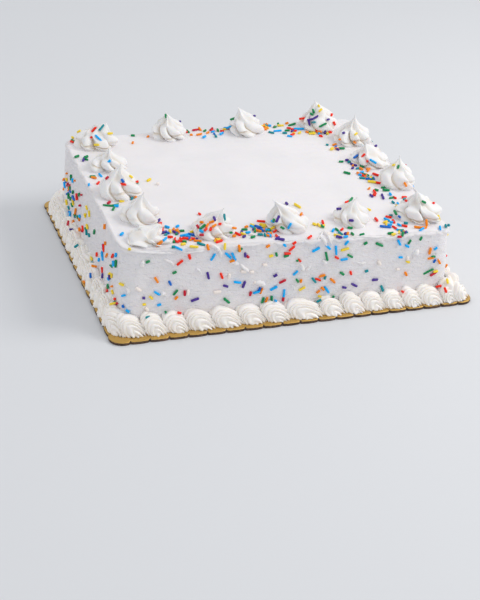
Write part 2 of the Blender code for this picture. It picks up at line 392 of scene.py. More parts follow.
def node(tree, kind, inputs=None, **settings):
    """Add a shader node and set its properties and inputs: a socket is linked and a value stored."""
    made = tree.nodes.new(kind)
    for key, value in settings.items():
        setattr(made, key, value)
    for key, value in (inputs or {}).items():
        if isinstance(value, bpy.types.NodeSocket):
            tree.links.new(value, made.inputs[key])
        else:
            made.inputs[key].default_value = value
    return made


def new_finish(name):
    """A material with its node tree, its shader and the object coordinates."""
    material = bpy.data.materials.new(name)
    material.use_nodes = True
    tree = material.node_tree
    shader = tree.nodes["Principled BSDF"]
    place = node(tree, "ShaderNodeTexCoord").outputs["Object"]
    return material, tree, shader, place


def noise(tree, place, scale, detail=3.0, roughness=0.5):
    """Fractal noise at a place, about 0.5."""
    inputs = {"Vector": place, "Scale": scale, "Detail": detail, "Roughness": roughness}
    return node(tree, "ShaderNodeTexNoise", inputs).outputs["Fac"]


def stretched(tree, place, scale, turn=0.0, tilt=0.0):
    """A place drawn out along the axes, after a turn about Z and a tilt about Y."""
    inputs = {"Vector": place, "Scale": scale, "Rotation": (0.0, tilt, turn)}
    return node(tree, "ShaderNodeMapping", inputs).outputs["Vector"]


def remap(tree, value, low, high, to_low=0.0, to_high=1.0):
    """A value from low to high taken to another range, and held there."""
    inputs = {"Value": value, "From Min": low, "From Max": high, "To Min": to_low, "To Max": to_high}
    return node(tree, "ShaderNodeMapRange", inputs).outputs["Result"]


def blend(tree, factor, first, second):
    """The first colour where the factor is 0 and the second where it is 1."""
    mix = node(tree, "ShaderNodeMix", data_type="RGBA")
    for socket, value in ((mix.inputs["Factor"], factor), (mix.inputs[6], first), (mix.inputs[7], second)):
        if isinstance(value, bpy.types.NodeSocket):
            tree.links.new(value, socket)
        else:
            socket.default_value = value
    return mix.outputs[2]


def combined(tree, operation, first, second):
    """Two values added or multiplied."""
    return node(tree, "ShaderNodeMath", {0: first, 1: second}, operation=operation).outputs[0]


def product(tree, first, second):
    """One value times another."""
    return combined(tree, "MULTIPLY", first, second)


def relief(tree, height, distance, under=None):
    """A bump of the height given, over another one if there is one."""
    inputs = {"Height": height, "Distance": distance}
    if under is not None:
        inputs["Normal"] = under
    return node(tree, "ShaderNodeBump", inputs).outputs["Normal"]


def measure(tree, name):
    """The value that a mesh holds at each point under a name."""
    return node(tree, "ShaderNodeAttribute", attribute_name=name).outputs["Fac"]


def dress(tree, shader, colour, roughness, normal):
    """Link a finish's colour, roughness and relief to its shader."""
    tree.links.new(colour, shader.inputs["Base Color"])
    tree.links.new(roughness, shader.inputs["Roughness"])
    tree.links.new(normal, shader.inputs["Normal"])


def scaled_colour(colour, factor):
    """A colour with its three parts multiplied."""
    return (*(part * factor for part in colour[:3]), 1.0)


def creamy(shader, subsurface):
    """The soft body of whipped cream: light goes a little way in and comes out warm."""
    shader.inputs["Subsurface Weight"].default_value = subsurface
    shader.inputs["Subsurface Radius"].default_value = CREAM_GLOW
    shader.inputs["Subsurface Scale"].default_value = CREAM_GLOW_DEPTH
    shader.inputs["IOR"].default_value = 1.4
    shader.inputs["Specular IOR Level"].default_value = 0.35


def frosting_finish(body):
    """Smoothed frosting: streaks along the top, grain and small pits on the walls."""
    material, tree, shader, place = new_finish("smoothed_frosting")
    wall = measure(tree, "wall")
    tone = remap(tree, noise(tree, place, FROSTING_PATCHES, 4.0), *NOISE_MIDDLE)
    streaks = noise(tree, stretched(tree, place, STREAK_STRETCH, STREAK_TURN), SPATULA_STREAKS, 4.0)
    drawn = noise(tree, stretched(tree, place, DRAG_STRETCH), DRAG_MARKS)
    scratches = noise(tree, stretched(tree, place, SCRATCH_STRETCH, tilt=SCRATCH_TILT), SCRATCHES)
    grain = noise(tree, place, FROSTING_GRAIN, 4.0, 0.65)
    pits = node(tree, "ShaderNodeTexVoronoi", {"Vector": place, "Scale": PITS}).outputs["Distance"]
    dimples = product(tree, remap(tree, pits, 0.0, PIT_WIDTH), wall)
    normal = relief(tree, streaks, STREAK_RELIEF)
    normal = relief(tree, product(tree, drawn, wall), DRAG_RELIEF, normal)
    normal = relief(tree, product(tree, scratches, wall), SCRATCH_RELIEF, normal)
    normal = relief(tree, dimples, PIT_RELIEF, normal)
    normal = relief(tree, product(tree, grain, wall), GRAIN_RELIEF, normal)
    rough = remap(tree, grain, *NOISE_SPAN, to_low=0.5, to_high=0.62)
    dress(tree, shader, blend(tree, tone, body.colour, body.shade), rough, normal)
    creamy(shader, FROSTING_SUBSURFACE)
    return material


def piped_finish(name, cream, groove, subsurface):
    """Piped cream: satin crests, and painted warm shade deep in the grooves, partly the cream's own tint."""
    material, tree, shader, place = new_finish(name)
    patch = remap(tree, noise(tree, place, CREAM_PATCHES), *NOISE_MIDDLE, to_low=0.55, to_high=1.0)
    # Painted shade: the groove share that the mesh holds, made uneven by patches of noise, blends the cream
    # towards the groove colour.
    colour = blend(tree, product(tree, measure(tree, "groove"), patch), cream, groove)
    grain = noise(tree, place, CREAM_GRAIN)
    rough = remap(tree, grain, *NOISE_SPAN, to_low=0.42, to_high=0.55)
    dress(tree, shader, colour, rough, relief(tree, grain, CREAM_RELIEF))
    creamy(shader, subsurface)
    return material


def sugar_finish(name, colour):
    """Sugar strands: an even colour that pales in patches, with a satin glaze."""
    material, tree, shader, place = new_finish(name)
    patch = remap(tree, noise(tree, place, SUGAR_PATCHES, 2.0), 0.45, 0.75, to_low=0.0, to_high=0.1)
    paler = [1 - (1 - part) * SUGAR_FADE for part in colour]
    grain = noise(tree, place, SUGAR_GRAIN, 2.0)
    rough = remap(tree, grain, *NOISE_SPAN, to_low=0.32, to_high=0.5)
    tinted = blend(tree, patch, (*colour, 1.0), (*paler, 1.0))
    dress(tree, shader, tinted, rough, relief(tree, grain, SUGAR_RELIEF))
    shader.inputs["Specular IOR Level"].default_value = 0.22
    return material


def gold_card_finish(board):
    """Gold foil on card: embossed foil on top, and below it a dark mottled cut edge with flecks of foil."""
    material, tree, shader, place = new_finish("gold_card")
    flecks = remap(tree, noise(tree, place, FOIL_FLECKS), *NOISE_SPAN, to_low=-0.3, to_high=0.3)
    foil = remap(tree, combined(tree, "ADD", measure(tree, "foil"), flecks), 0.42, 0.58)
    tone = remap(tree, noise(tree, place, FOIL_TONES, 4.0), *NOISE_SPAN, to_low=0.0, to_high=0.45)
    gold = blend(tree, tone, board.gold, scaled_colour(board.gold, FOIL_SHADE))
    mottle = remap(tree, noise(tree, place, CARD_MOTTLE, 4.0), 0.42, 0.66)
    card = blend(tree, mottle, board.edge, scaled_colour(board.edge, CARD_LIFT))
    rough = remap(tree, foil, 0.0, 1.0, to_low=0.85, to_high=0.42)
    weave = relief(tree, noise(tree, place, CARD_WEAVE), WEAVE_RELIEF)
    dress(tree, shader, blend(tree, foil, card, gold), rough, weave)
    tree.links.new(product(tree, foil, FOIL_METAL), shader.inputs["Metallic"])
    return material


# The frosted block

TOP_CELLS = (250, 150)
EDGE_ROWS = 6
WALL_ROWS = 56

# Each unevenness of the frosting: its height, its wavelength and the seed of its waves.
TOP_HOLLOWS = (0.35 * MM, 85 * MM, 11)
WALL_HOLLOWS = (0.7 * MM, 60 * MM, 21)
WALL_DRAGS = (0.16 * MM, 7 * MM, 22)
WALL_TEARS = (0.12 * MM, 3.2 * MM, 23)
LIP_WANDER = (2.2 * MM, 24 * MM, 24)
LIP_TEETH = (1.6 * MM, 6 * MM, 25)

STREAK_WAVE = (7 * MM, 12)
STREAK_LENGTHS = (22.0, 1.0, 1.0)
BROAD_DENTS = (30 * MM, 13)
FINE_DENTS = (11 * MM, 14)
FINE_DENT_SHARE = 0.5
DENTED_RIM = 14 * MM
DRAG_LENGTHS = (3.0, 3.0, 1.0)
UPRIGHT_LENGTHS = (1, 1, 100)
LIP_DEPTH = 3.5 * MM
LIP_STEP = 0.7 * MM
PRESSED_FOOT = 4 * MM
TINY = 1e-9


def rounded_plan(x, y, half_length, half_width, corner):
    """Places in an upright rectangle eased into round corners.

    In each corner square a place (p, q) from 0 to 1 goes to p sqrt(1 - q²/2), q sqrt(1 - p²/2), which
    bends the two outer sides into a quarter circle. Also gives the outward direction at the rim.
    """
    p = np.clip((np.abs(x) - half_length + corner) / corner, 0, 1)
    q = np.clip((np.abs(y) - half_width + corner) / corner, 0, 1)
    bent_x, bent_y = p * np.sqrt(1 - q * q / 2), q * np.sqrt(1 - p * p / 2)
    plan_x = np.sign(x) * (np.minimum(np.abs(x), half_length - corner) + corner * bent_x)
    plan_y = np.sign(y) * (np.minimum(np.abs(y), half_width - corner) + corner * bent_y)
    outward = np.stack([np.sign(x) * bent_x, np.sign(y) * bent_y], -1)
    outward /= np.maximum(np.linalg.norm(outward, axis=-1, keepdims=True), TINY)
    return plan_x, plan_y, outward


def rim_index(columns, rows):
    """Indices of a grid's outermost points, once round."""
    grid = np.arange(columns * rows).reshape(rows, columns)
    return np.concatenate([grid[0, :-1], grid[:-1, -1], grid[-1, :0:-1], grid[:0:-1, 0]])


def uneven(points, kind, stretch=(1.0, 1.0, 1.0)):
    """One unevenness of the frosting: its height times its waves."""
    height, wavelength, seed = kind
    return height * ripple(points, wavelength, seed, stretch)


def top_relief(points, body):
    """Slow unevenness of the top, long shallow spatula streaks, and dents along the rim, in metres."""
    streaks = body.streaks * ripple(points, *STREAK_WAVE, STREAK_LENGTHS)
    rim_x = body.length / 2 - np.abs(points[..., 0])
    rim_y = body.width / 2 - np.abs(points[..., 1])
    level = points * (1, 1, 0)
    dents = body.dents * (ripple(level, *BROAD_DENTS) + FINE_DENT_SHARE * ripple(level, *FINE_DENTS))
    near_rim = 1 - ease(np.minimum(rim_x, rim_y), 0, DENTED_RIM)
    return uneven(points, TOP_HOLLOWS) + streaks + dents * near_rim


def wall_relief(points, drop, body):
    """Unevenness of a wall: broad hollows, drag marks, and a ragged lip under the top edge.

    The lip stands out down to a depth that wanders along the edge, and falls away there in a short step.
    """
    rough = uneven(points, WALL_HOLLOWS) + uneven(points, WALL_DRAGS, DRAG_LENGTHS)
    rough = rough + uneven(points, WALL_TEARS)
    lip_line = LIP_DEPTH + uneven(points, LIP_WANDER, UPRIGHT_LENGTHS)
    lip_line = lip_line + uneven(points, LIP_TEETH, UPRIGHT_LENGTHS)
    return rough + body.lip * (1 - ease(drop - lip_line, -LIP_STEP, LIP_STEP))


def frosted_block(body):
    """The whole frosted cake as one closed surface.

    A grid over the top is eased into round corners. From its rim, rings go over the rounded edge, where an
    angle runs from 0 to 90 degrees, and then down the leaning wall to the floor. Each point is then moved
    along its outward direction by the relief.
    """
    columns, rows = TOP_CELLS[0] + 1, TOP_CELLS[1] + 1
    half_length, half_width = body.length / 2 - body.edge, body.width / 2 - body.edge
    x, y = np.meshgrid(np.linspace(-half_length, half_length, columns),
                       np.linspace(-half_width, half_width, rows))
    plan_x, plan_y, outward = rounded_plan(x, y, half_length, half_width, body.corner - body.edge)
    top = np.stack([plan_x, plan_y, top_height(plan_x, plan_y, body)], -1)
    rim = rim_index(columns, rows)
    rim_points, rim_out = top.reshape(-1, 3)[rim], outward.reshape(-1, 2)[rim]

    angle = np.linspace(0, np.pi / 2, EDGE_ROWS + 1)[1:]
    down = np.linspace(0, 1, WALL_ROWS + 1)[1:]
    reach = np.concatenate([body.edge * np.sin(angle), body.edge + body.lean * down])[:, None]
    facing = np.concatenate([np.sin(angle), np.ones(WALL_ROWS)])[:, None]
    upward = np.concatenate([np.cos(angle), np.zeros(WALL_ROWS)])[:, None]
    rim_height = rim_points[None, :, 2]
    edge_drop = body.edge * (1 - np.cos(angle))[:, None] + 0 * rim_height
    wall_drop = body.edge + down[:, None] * (rim_height - body.edge - body.floor)
    drop = np.concatenate([edge_drop, wall_drop])
    sides = np.stack([rim_points[None, :, 0] + reach * rim_out[None, :, 0],
                      rim_points[None, :, 1] + reach * rim_out[None, :, 1],
                      rim_height - drop], -1)
    swell = wall_relief(sides, drop, body) * facing + top_relief(sides, body) * upward
    swell *= ease(sides[..., 2], body.floor, body.floor + PRESSED_FOOT)
    sides[..., :2] += rim_out[None] * (swell * facing)[..., None]
    sides[..., 2] += swell * upward
    top[..., 2] += top_relief(top, body)

    cells = np.arange(columns * rows).reshape(rows, columns)
    top_quads = np.stack([cells[:-1, :-1], cells[:-1, 1:], cells[1:, 1:], cells[1:, :-1]], -1)
    side_index = columns * rows + np.arange(sides.shape[0] * len(rim)).reshape(-1, len(rim))
    quads = np.concatenate([top_quads.reshape(-1, 4), ring_faces(np.vstack([rim, side_index]))])
    under = side_index[-1][None, ::-1]
    points = onto_board(np.concatenate([top.reshape(-1, 3), sides.reshape(-1, 3)]))
    wall = np.concatenate([np.zeros(columns * rows), np.repeat(facing[:, 0] ** 2, len(rim))])
    return points, quads, under, wall


class CAKE_OT_frost(bpy.types.Operator):
    """Frost the cake: streaked top, grainy walls and a ragged top edge"""
    bl_idname = "cake.frost"
    bl_label = "Frost the Cake"

    def execute(self, context):
        body = context.scene.sheet_cake.body
        points, quads, under, wall = frosted_block(body)
        add_piece("frosted_cake", points, [quads, under], frosting_finish(body), "white_frosting",
                  ["cake_body"], wall=wall)
        return {"FINISHED"}


# Rosettes

ROSETTE_RINGS = 60
LOBE_SIDES = 20
TUCK = math.radians(112)
FOOT_SPREAD = 1.05
TIP_ANGLE = 0.02
TIP_WIDTH = 0.03
FOOT_POWER = 1.7
RISE_POWER = 1.5
LEAN_POWER = 2.6
CREST_POWER = 0.8
BULB_POWER = 0.7
LOBE_SHIFT = 0.55
BULB_SHIFT = 1.3
SIDE_STRENGTHS = (0.45, 0.3)
ROUND_UNEVEN = 0.06
CREASE_PLACE = 0.76
CREASE_WAVES = (0.05, 0.03)
CREASE_WIDTH = 0.03
CREASE_DEPTH = 0.14
FOLD_WAVES = (13 * MM, 13 * MM, 12 * MM)
FOLD_HEIGHTS = (1.0, 1.0, 0.6)
SAG = 0.2
FOOT_PRESS = 2 * MM
FIRST_ROSETTE_SEED = 100
EARLY_WINDING = 0.9
LATE_WINDING = 0.35
CREASE_SIDES = (0.5, 1.3)
# Strength of the painted shade along the crease, and the groove depths over which painted shade sets in.
CREASE_SHADE = 0.8
SHADED_GROOVE_DEPTHS = (0.5, 0.95)

# Random phases lie between 0 and this, which is about a full turn.
FULL_TURN = 6.3

# Stretches of the way down a rosette, from 0 at the tip to 1 at the foot, over which something sets in.
FILLS_OUT = (0.35, 0.7)
LOBES_ROUND = (0.42, 0.62)
UNEVEN_FROM = (0.1, 0.6)
WINDS_FASTER = (0.55, 1.0)
FOLDS_FROM = (0.12, 0.5)
SAGS_FROM = (0.3, 0.7)
GROOVES_SHADED_FROM = (0.3, 0.65)
PRESSED_FROM = (0.93, 1.0)


def rosette_surface(width, height, form, seed, look):
    """One pulled swirl about its own foot, and how much painted shade each point takes in the grooves and
    the crease.

    Down from the tip (0) to the foot (1) an angle runs to TUCK: the radius follows its sine, raised to the
    power that draws the tip out, and the height its cosine, so the side curves in to a point. Round it the
    lobes, of uneven width, go from sharp crests with wide hollows near the tip to round bulges with narrow
    creases at the foot. The crests wind down to the foot, fastest near it, and lean over the creases beside
    them. A wavy crease runs round above the foot, where the first ring of cream lies under the second.
    """
    lean, turn, twist, lobes, drawn, folds = form
    down = np.linspace(0, 1, ROSETTE_RINGS)[:, None]
    around = np.linspace(0, 2 * np.pi, lobes * LOBE_SIDES, endpoint=False)[None, :]
    rng = np.random.default_rng(seed)
    angle = TIP_ANGLE + down * (TUCK - TIP_ANGLE)
    rise = ((np.cos(angle) - math.cos(TUCK)) / (1 - math.cos(TUCK))) ** RISE_POWER
    power = drawn + (FOOT_POWER - drawn) * ease(down, *FILLS_OUT)
    swell = np.maximum(np.sin(angle) ** power, TIP_WIDTH)

    shift = sum(rng.uniform(-LOBE_SHIFT, LOBE_SHIFT) * np.sin(k * around + rng.uniform(0, FULL_TURN))
                for k in (1, 2, 3))
    crest = 1 - np.abs(np.sin((lobes * around + shift) / 2)) ** CREST_POWER + 0 * down
    bulb = np.abs(np.cos(((lobes + 1) * around + BULB_SHIFT * shift) / 2)) ** BULB_POWER
    shape = crest + (bulb - crest) * ease(down, *LOBES_ROUND)
    strength = 1 + SIDE_STRENGTHS[0] * np.sin(around + rng.uniform(0, FULL_TURN)) \
        + SIDE_STRENGTHS[1] * np.sin(2 * around + rng.uniform(0, FULL_TURN))
    depth = look.lobe_depth * strength * (1.35 - 0.6 * down)
    bumps = sum(rng.uniform(-ROUND_UNEVEN, ROUND_UNEVEN)
                * np.cos(k * around + rng.uniform(0, FULL_TURN) + 2 * down) for k in (1, 2, 3, 4))
    seam = CREASE_PLACE + CREASE_WAVES[0] * np.sin(2 * around + rng.uniform(0, FULL_TURN)) \
        + CREASE_WAVES[1] * np.sin(5 * around)
    crease = np.exp(-((down - seam) / CREASE_WIDTH) ** 2) * ease(strength, *CREASE_SIDES)
    evenness = 1 + bumps * ease(down, *UNEVEN_FROM) - CREASE_DEPTH * crease
    radius = FOOT_SPREAD * width / 2 * swell * (1 - depth * (1 - shape)) * evenness

    winding = math.radians(twist) * (EARLY_WINDING * down + LATE_WINDING * ease(down, *WINDS_FASTER))
    facing = around + math.radians(turn) + winding + look.fold * (shape - 0.5) * np.sin(np.pi * down)
    x = lean[0] * MM * rise ** LEAN_POWER + radius * np.cos(facing)
    y = lean[1] * MM * rise ** LEAN_POWER + radius * np.sin(facing)
    points = np.stack([x, y, height * rise + 0 * x], -1)
    loose = ease(down, *FOLDS_FROM)[..., None]
    waves = [tall * ripple(points, wave, seed + k)
             for k, (wave, tall) in enumerate(zip(FOLD_WAVES, FOLD_HEIGHTS), start=1)]
    points = points + loose * folds * MM * np.stack(waves, -1)
    points[..., 2] *= 1 - SAG * (1 - shape) * ease(down, *SAGS_FROM)
    points[..., 2] -= FOOT_PRESS * ease(down, *PRESSED_FROM)
    # Painted shade: the warm groove colour deep in the grooves, and along the crease above the foot.
    deep = ease(1 - shape, *SHADED_GROOVE_DEPTHS) * ease(down, *GROOVES_SHADED_FROM)
    groove = np.maximum(deep, CREASE_SHADE * crease)
    return points, groove


class CAKE_OT_rosettes(bpy.types.Operator):
    """Pipe the rosettes round the top edge"""
    bl_idname = "cake.rosettes"
    bl_label = "Pipe the Rosettes"

    def execute(self, context):
        look = context.scene.sheet_cake.rosettes
        material = piped_finish("piped_rosette", look.colour, look.groove, PIPED_SUBSURFACE)
        for seed, (name, form) in enumerate(ROSETTES.items(), start=FIRST_ROSETTE_SEED):
            node_name = "rosette_" + name
            low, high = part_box(node_name)
            width = (high.x - low.x + high.y - low.y) / 2
            points, groove = rosette_surface(width, high.z - low.z, form, seed, look)
            points = points + np.array([(low.x + high.x) / 2, (low.y + high.y) / 2, low.z])
            skin, quads, caps = closed_skin(points)
            add_piece(name + "_rosette", skin, [quads, caps], material, "piped_rosettes", [node_name],
                      groove=with_poles(groove))
        return {"FINISHED"}


# Shell borders

SHELL_RINGS = 52
SHELL_SIDES = 56
EYE_SHARE = 0.42
HALF_SHARE = 0.58
EYE_HEIGHT = 0.18
SPREAD_POWER = 0.75
STAND_POWER = 0.55
SPIRAL_ARMS = 3
RIDGE_POWER = 1.1
RIDGE_LEVEL = 0.55
SHALLOW_TOWARDS = 2.8
SHALLOW_SHARE = 0.6
ARM_WAVES = (0.05, 0.03)
PACE_WAVE = 0.035
PACE_TURNS = 9
RIDGES_FROM = (0.02, 0.15)
# Stretch out from the eye over which painted shade between the ridges sets in.
RIDGE_SHADE_FROM = (0.02, 0.12)
RIDGE_HOLLOWS = (0.55, 1.0)
TONGUE_REACH = 0.2
TONGUE_ALONG = (0.5, 2.0)
TONGUE_OUT = (0.6, 1.6)
TONGUE_DROOP = 1.5 * MM
FOOT_BAND = 4 * MM
FOOT_FRILL = 1.1 * MM
FRILL_WAVE = 3.0 * MM
FRILL_LENGTHS = (1, 1, 6)
FRILL_FADE = (0.1, 0.5)
SIDE_WOBBLE = 0.5 * MM
SIDE_WAVE = 9 * MM
HEIGHT_WOBBLE = 0.35 * MM
HEIGHT_WAVE = 7 * MM
STEADY_FOOT = 1 * MM
# Strength of the painted shade between the ridges.
GROOVE_SHADE_SHARE = 0.7
ROW_START = 5 * MM
CORNER_RISE = 4.5 * MM
CORNER_RISE_FADE = 0.35
SHELL_RHYTHM = 2.3
FIRST_SLANT = 0.25
EVERY_SLANT = 0.3
DEPTH_SPREAD = (0.94, 1.04)
HEIGHT_SPREAD = (0.93, 1.07)
INTO_WALL = 0.6 * MM
INTO_BOARD = 0.3 * MM
SIZE_SEED = 300
SHAPE_SEED = 1000
SEEDS_A_DEGREE = 50


def shell_surface(width, depth, height, slant, seed, look):
    """One piped shell: x along the wall, y out from it and z up, and how much painted shade each point takes
    between the ridges.

    Out from the eye low on the shell's front (0) to the wall (1) an angle runs to 90 degrees, and another
    goes round it. The middle of each ring moves from the eye to the middle of the shell as the rings widen.
    Ridges wind about the eye as spiral arms at uneven steps of the first angle, nearest to it at the left
    and farthest at the lower right, and they are shallower at the left. A tongue of cream sticks out at the
    eye. The shell leans, so that the ridges sweep down to the right. What would pass under the board is
    pressed onto it.
    """
    rng = np.random.default_rng(seed)
    out = np.linspace(0, 1, SHELL_RINGS + 1)[1:, None]
    angle = out * np.pi / 2
    round_eye = np.linspace(0, 2 * np.pi, SHELL_SIDES, endpoint=False)[None, :] - np.pi / 2
    shallow = 0.5 + 0.5 * np.cos(round_eye - SHALLOW_TOWARDS)
    spread = np.sin(angle) ** SPREAD_POWER
    stand = np.cos(angle).clip(0) ** STAND_POWER

    wander = ARM_WAVES[0] * np.sin(2 * round_eye + rng.uniform(0, FULL_TURN)) \
        + ARM_WAVES[1] * np.sin(3 * round_eye + rng.uniform(0, FULL_TURN))
    pace = out + PACE_WAVE * np.sin(PACE_TURNS * out + rng.uniform(0, FULL_TURN)) + wander * out
    step = pace * look.ridges + SPIRAL_ARMS * round_eye / (2 * np.pi)
    ridge = np.abs(np.cos(np.pi * step)) ** RIDGE_POWER
    strength = look.ridge_depth * (1 - SHALLOW_SHARE * shallow) * ease(out, *RIDGES_FROM)
    scale = 1 + strength * (ridge - RIDGE_LEVEL)

    eye_height = EYE_HEIGHT * height
    x = width * spread * (0.5 - EYE_SHARE + HALF_SHARE * np.cos(round_eye)) * scale
    y = depth * stand * scale
    z = (eye_height * (1 - spread) + height * spread * np.sin(round_eye)) * scale
    tongue = np.exp(-(out / TONGUE_REACH) ** 2)
    x = x + tongue * rng.uniform(*TONGUE_ALONG) * MM
    y = y + tongue * rng.uniform(*TONGUE_OUT) * MM
    z = np.maximum(z - tongue * TONGUE_DROOP, 0)
    x = x - slant * width * (z - eye_height) / height
    points = np.stack([x, y, z], -1)
    frill = FOOT_FRILL * (0.5 + ripple(points, FRILL_WAVE, seed, FRILL_LENGTHS))
    points[..., 1] += frill * (1 - ease(z, 0, FOOT_BAND)) * ease(stand, *FRILL_FADE)
    points[..., 0] += SIDE_WOBBLE * ripple(points, SIDE_WAVE, seed + 1)
    above_foot = ease(z, STEADY_FOOT, FOOT_BAND)
    points[..., 2] += HEIGHT_WOBBLE * ripple(points, HEIGHT_WAVE, seed + 2) * above_foot
    # Painted shade in the hollows between the ridges, setting in just out from the eye.
    groove = GROOVE_SHADE_SHARE * ease(1 - ridge, *RIDGE_HOLLOWS) * ease(out, *RIDGE_SHADE_FROM)
    return points, groove


def even_ends(start, end, count):
    """Shell ends along a side, each a little off its even place."""
    place = np.arange(count + 1)
    ends = start + (end - start) / count * (place + SHELL_UNEVEN * np.sin(SHELL_RHYTHM * place))
    ends[0], ends[-1] = start, end
    return ends


def shell_rows(body):
    """Each border's shells as (end of the foot at the wall, facing in degrees, width, share along it).

    The front and back rows end in a corner shell at each end, which faces outwards between the two walls.
    """
    side_foot, end_foot = body.length / 2 + body.lean, body.width / 2 + body.lean
    side_end = end_foot - body.lean / 2
    ends = {
        "front": np.array(FRONT_SHELL_ENDS) * MM,
        "right": even_ends(ROW_START - side_end, side_end - ROW_START, SIDE_SHELLS),
        "back": even_ends(-BACK_REACH, BACK_REACH, BACK_SHELLS),
        "left": even_ends(ROW_START - side_end, side_end - ROW_START, SIDE_SHELLS),
    }
    feet = {"front": end_foot, "right": side_foot, "back": end_foot, "left": side_foot}
    corner = body.corner + body.lean
    rows = {}
    for border, (facing, _, _, corner_sizes) in BORDERS.items():
        along, outward = wall_directions(facing)
        shells = []
        for start, end in zip(ends[border], ends[border][1:]):
            share = (start - ends[border][0]) / (ends[border][-1] - ends[border][0])
            shells.append((along * start + outward * feet[border], facing, end - start, share))
        corners = ((0, -1), (-1, 1)) if corner_sizes else ()
        for at, sign in corners:
            slant = facing + 45 * sign
            slant_along, slant_out = wall_directions(slant)
            centre = along * sign * (side_foot - corner) + outward * (end_foot - corner)
            width = corner_sizes[at][0] * MM
            foot = centre + slant_out * corner - slant_along * width / 2
            shells[at] = (foot, slant, width, shells[at][3])
        rows[border] = shells
    return rows


class CAKE_OT_shells(bpy.types.Operator):
    """Pipe the shell border along the foot of each wall"""
    bl_idname = "cake.shells"
    bl_label = "Pipe the Shell Borders"

    def execute(self, context):
        settings = context.scene.sheet_cake
        body, look = settings.body, settings.shells
        material = piped_finish("piped_shell", look.colour, look.groove, PIPED_SUBSURFACE)
        wall_height = TOP_CORNERS["front"][0] - body.floor
        for border, shells in shell_rows(body).items():
            row_facing, depths, heights, corner_sizes = BORDERS[border]
            skins, grooves = [], []
            for number, (start, facing, width, share) in enumerate(shells):
                rng = np.random.default_rng(SIZE_SEED + number)
                depth = (depths[0] + (depths[1] - depths[0]) * share) * MM * rng.uniform(*DEPTH_SPREAD)
                height = (heights[0] + (heights[1] - heights[0]) * share) * MM * rng.uniform(*HEIGHT_SPREAD)
                slant = EVERY_SLANT + FIRST_SLANT * math.exp(-number / 2)
                if facing % 90:
                    depth, height = (size * MM for size in corner_sizes[number != 0][1:])
                elif corner_sizes:
                    height += CORNER_RISE * math.exp(-CORNER_RISE_FADE * number ** 2)
                seed = SHAPE_SEED + SEEDS_A_DEGREE * row_facing + number
                points, groove = shell_surface(width, depth, height, slant, seed, look)
                points[..., 0] += EYE_SHARE * width
                points[..., 1] -= body.lean * points[..., 2] / wall_height + INTO_WALL
                along, outward = wall_directions(facing)
                flat = start + points[..., :1] * along + points[..., 1:2] * outward
                placed = np.concatenate([flat, points[..., 2:] + body.floor - INTO_BOARD], -1)
                skins.append(closed_skin(onto_board(placed)))
                grooves.append(with_poles(groove))
            points, quads, caps = join_skins(skins)
            add_piece(border + "_shells", points, [quads, caps], material, "piped_shells",
                      ["border_" + border], groove=np.concatenate(grooves))
        return {"FINISHED"}


# The board

SCALLOP_STEPS = 12
SHOULDER_STEPS = 4
CORNER_STEPS = 10
SCALLOP_POWER = 0.28
FOIL_RINGS = 7
NOTCH_FADE = 4.0
# How far into a notch the rim loses its foil: the dark card there is partly bare card and partly painted
# shadow.
BARE_AND_SHADOWED_NOTCH = (0.3, 0.75)

# The rings of the board: how far each lies in from the edge in mm, and its height as a share of the whole.
BOARD_RINGS = (
    (90, 1.0), (30, 1.0), (9, 1.0), (5.8, 1.0), (2.5, 1.0), (0.9, 0.98), (0.25, 0.9), (0.0, 0.72),
    (0.12, 0.4), (0.1, 0.12), (0.5, 0.0), (30, 0.0), (90, 0.0),
)


def board_side(length, board, notch):
    """One side of the board and the corner after it, as distances along it and insets.

    Along a scallop the inset is the notch depth times one less a low power of a sine, so the edge is
    nearly straight and cut by sharp notches. Past the first and last notch a half scallop leads into the
    round corner.
    """
    count = round((length - 2 * board.stretch) / board.pitch)
    pitch = (length - 2 * board.stretch) / count
    shoulder = (board.stretch - board.corner) / pitch
    step = np.concatenate([
        np.linspace(-shoulder, 0, SHOULDER_STEPS, endpoint=False),
        np.arange(count * SCALLOP_STEPS + 1) / SCALLOP_STEPS,
        count + np.linspace(0, shoulder, SHOULDER_STEPS + 1)[1:],
    ])
    past = np.maximum(-step, step - count).clip(0) / (2 * shoulder)
    wave = np.abs(np.sin(np.pi * np.where(past > 0, past, step)))
    inset = notch * (1 - wave ** SCALLOP_POWER)
    angle = np.radians(90) * np.arange(1, CORNER_STEPS) / CORNER_STEPS
    turn_along = length - board.corner * (1 - np.sin(angle))
    turn_inset = board.corner * (1 - np.cos(angle))
    return np.concatenate([board.stretch + step * pitch, turn_along]), np.concatenate([inset, turn_inset])


def board_outline(board, notch):
    """The four sides joined into one closed outline."""
    corner = np.array([-board.width / 2, -board.depth / 2])
    heading = np.array([1.0, 0.0])
    outline = []
    for length in (board.width, board.depth, board.width, board.depth):
        inward = np.array([-heading[1], heading[0]])
        along, inset = board_side(length, board, notch)
        outline.append(corner + along[:, None] * heading + inset[:, None] * inward)
        corner = corner + heading * length
        heading = inward
    return np.concatenate(outline)


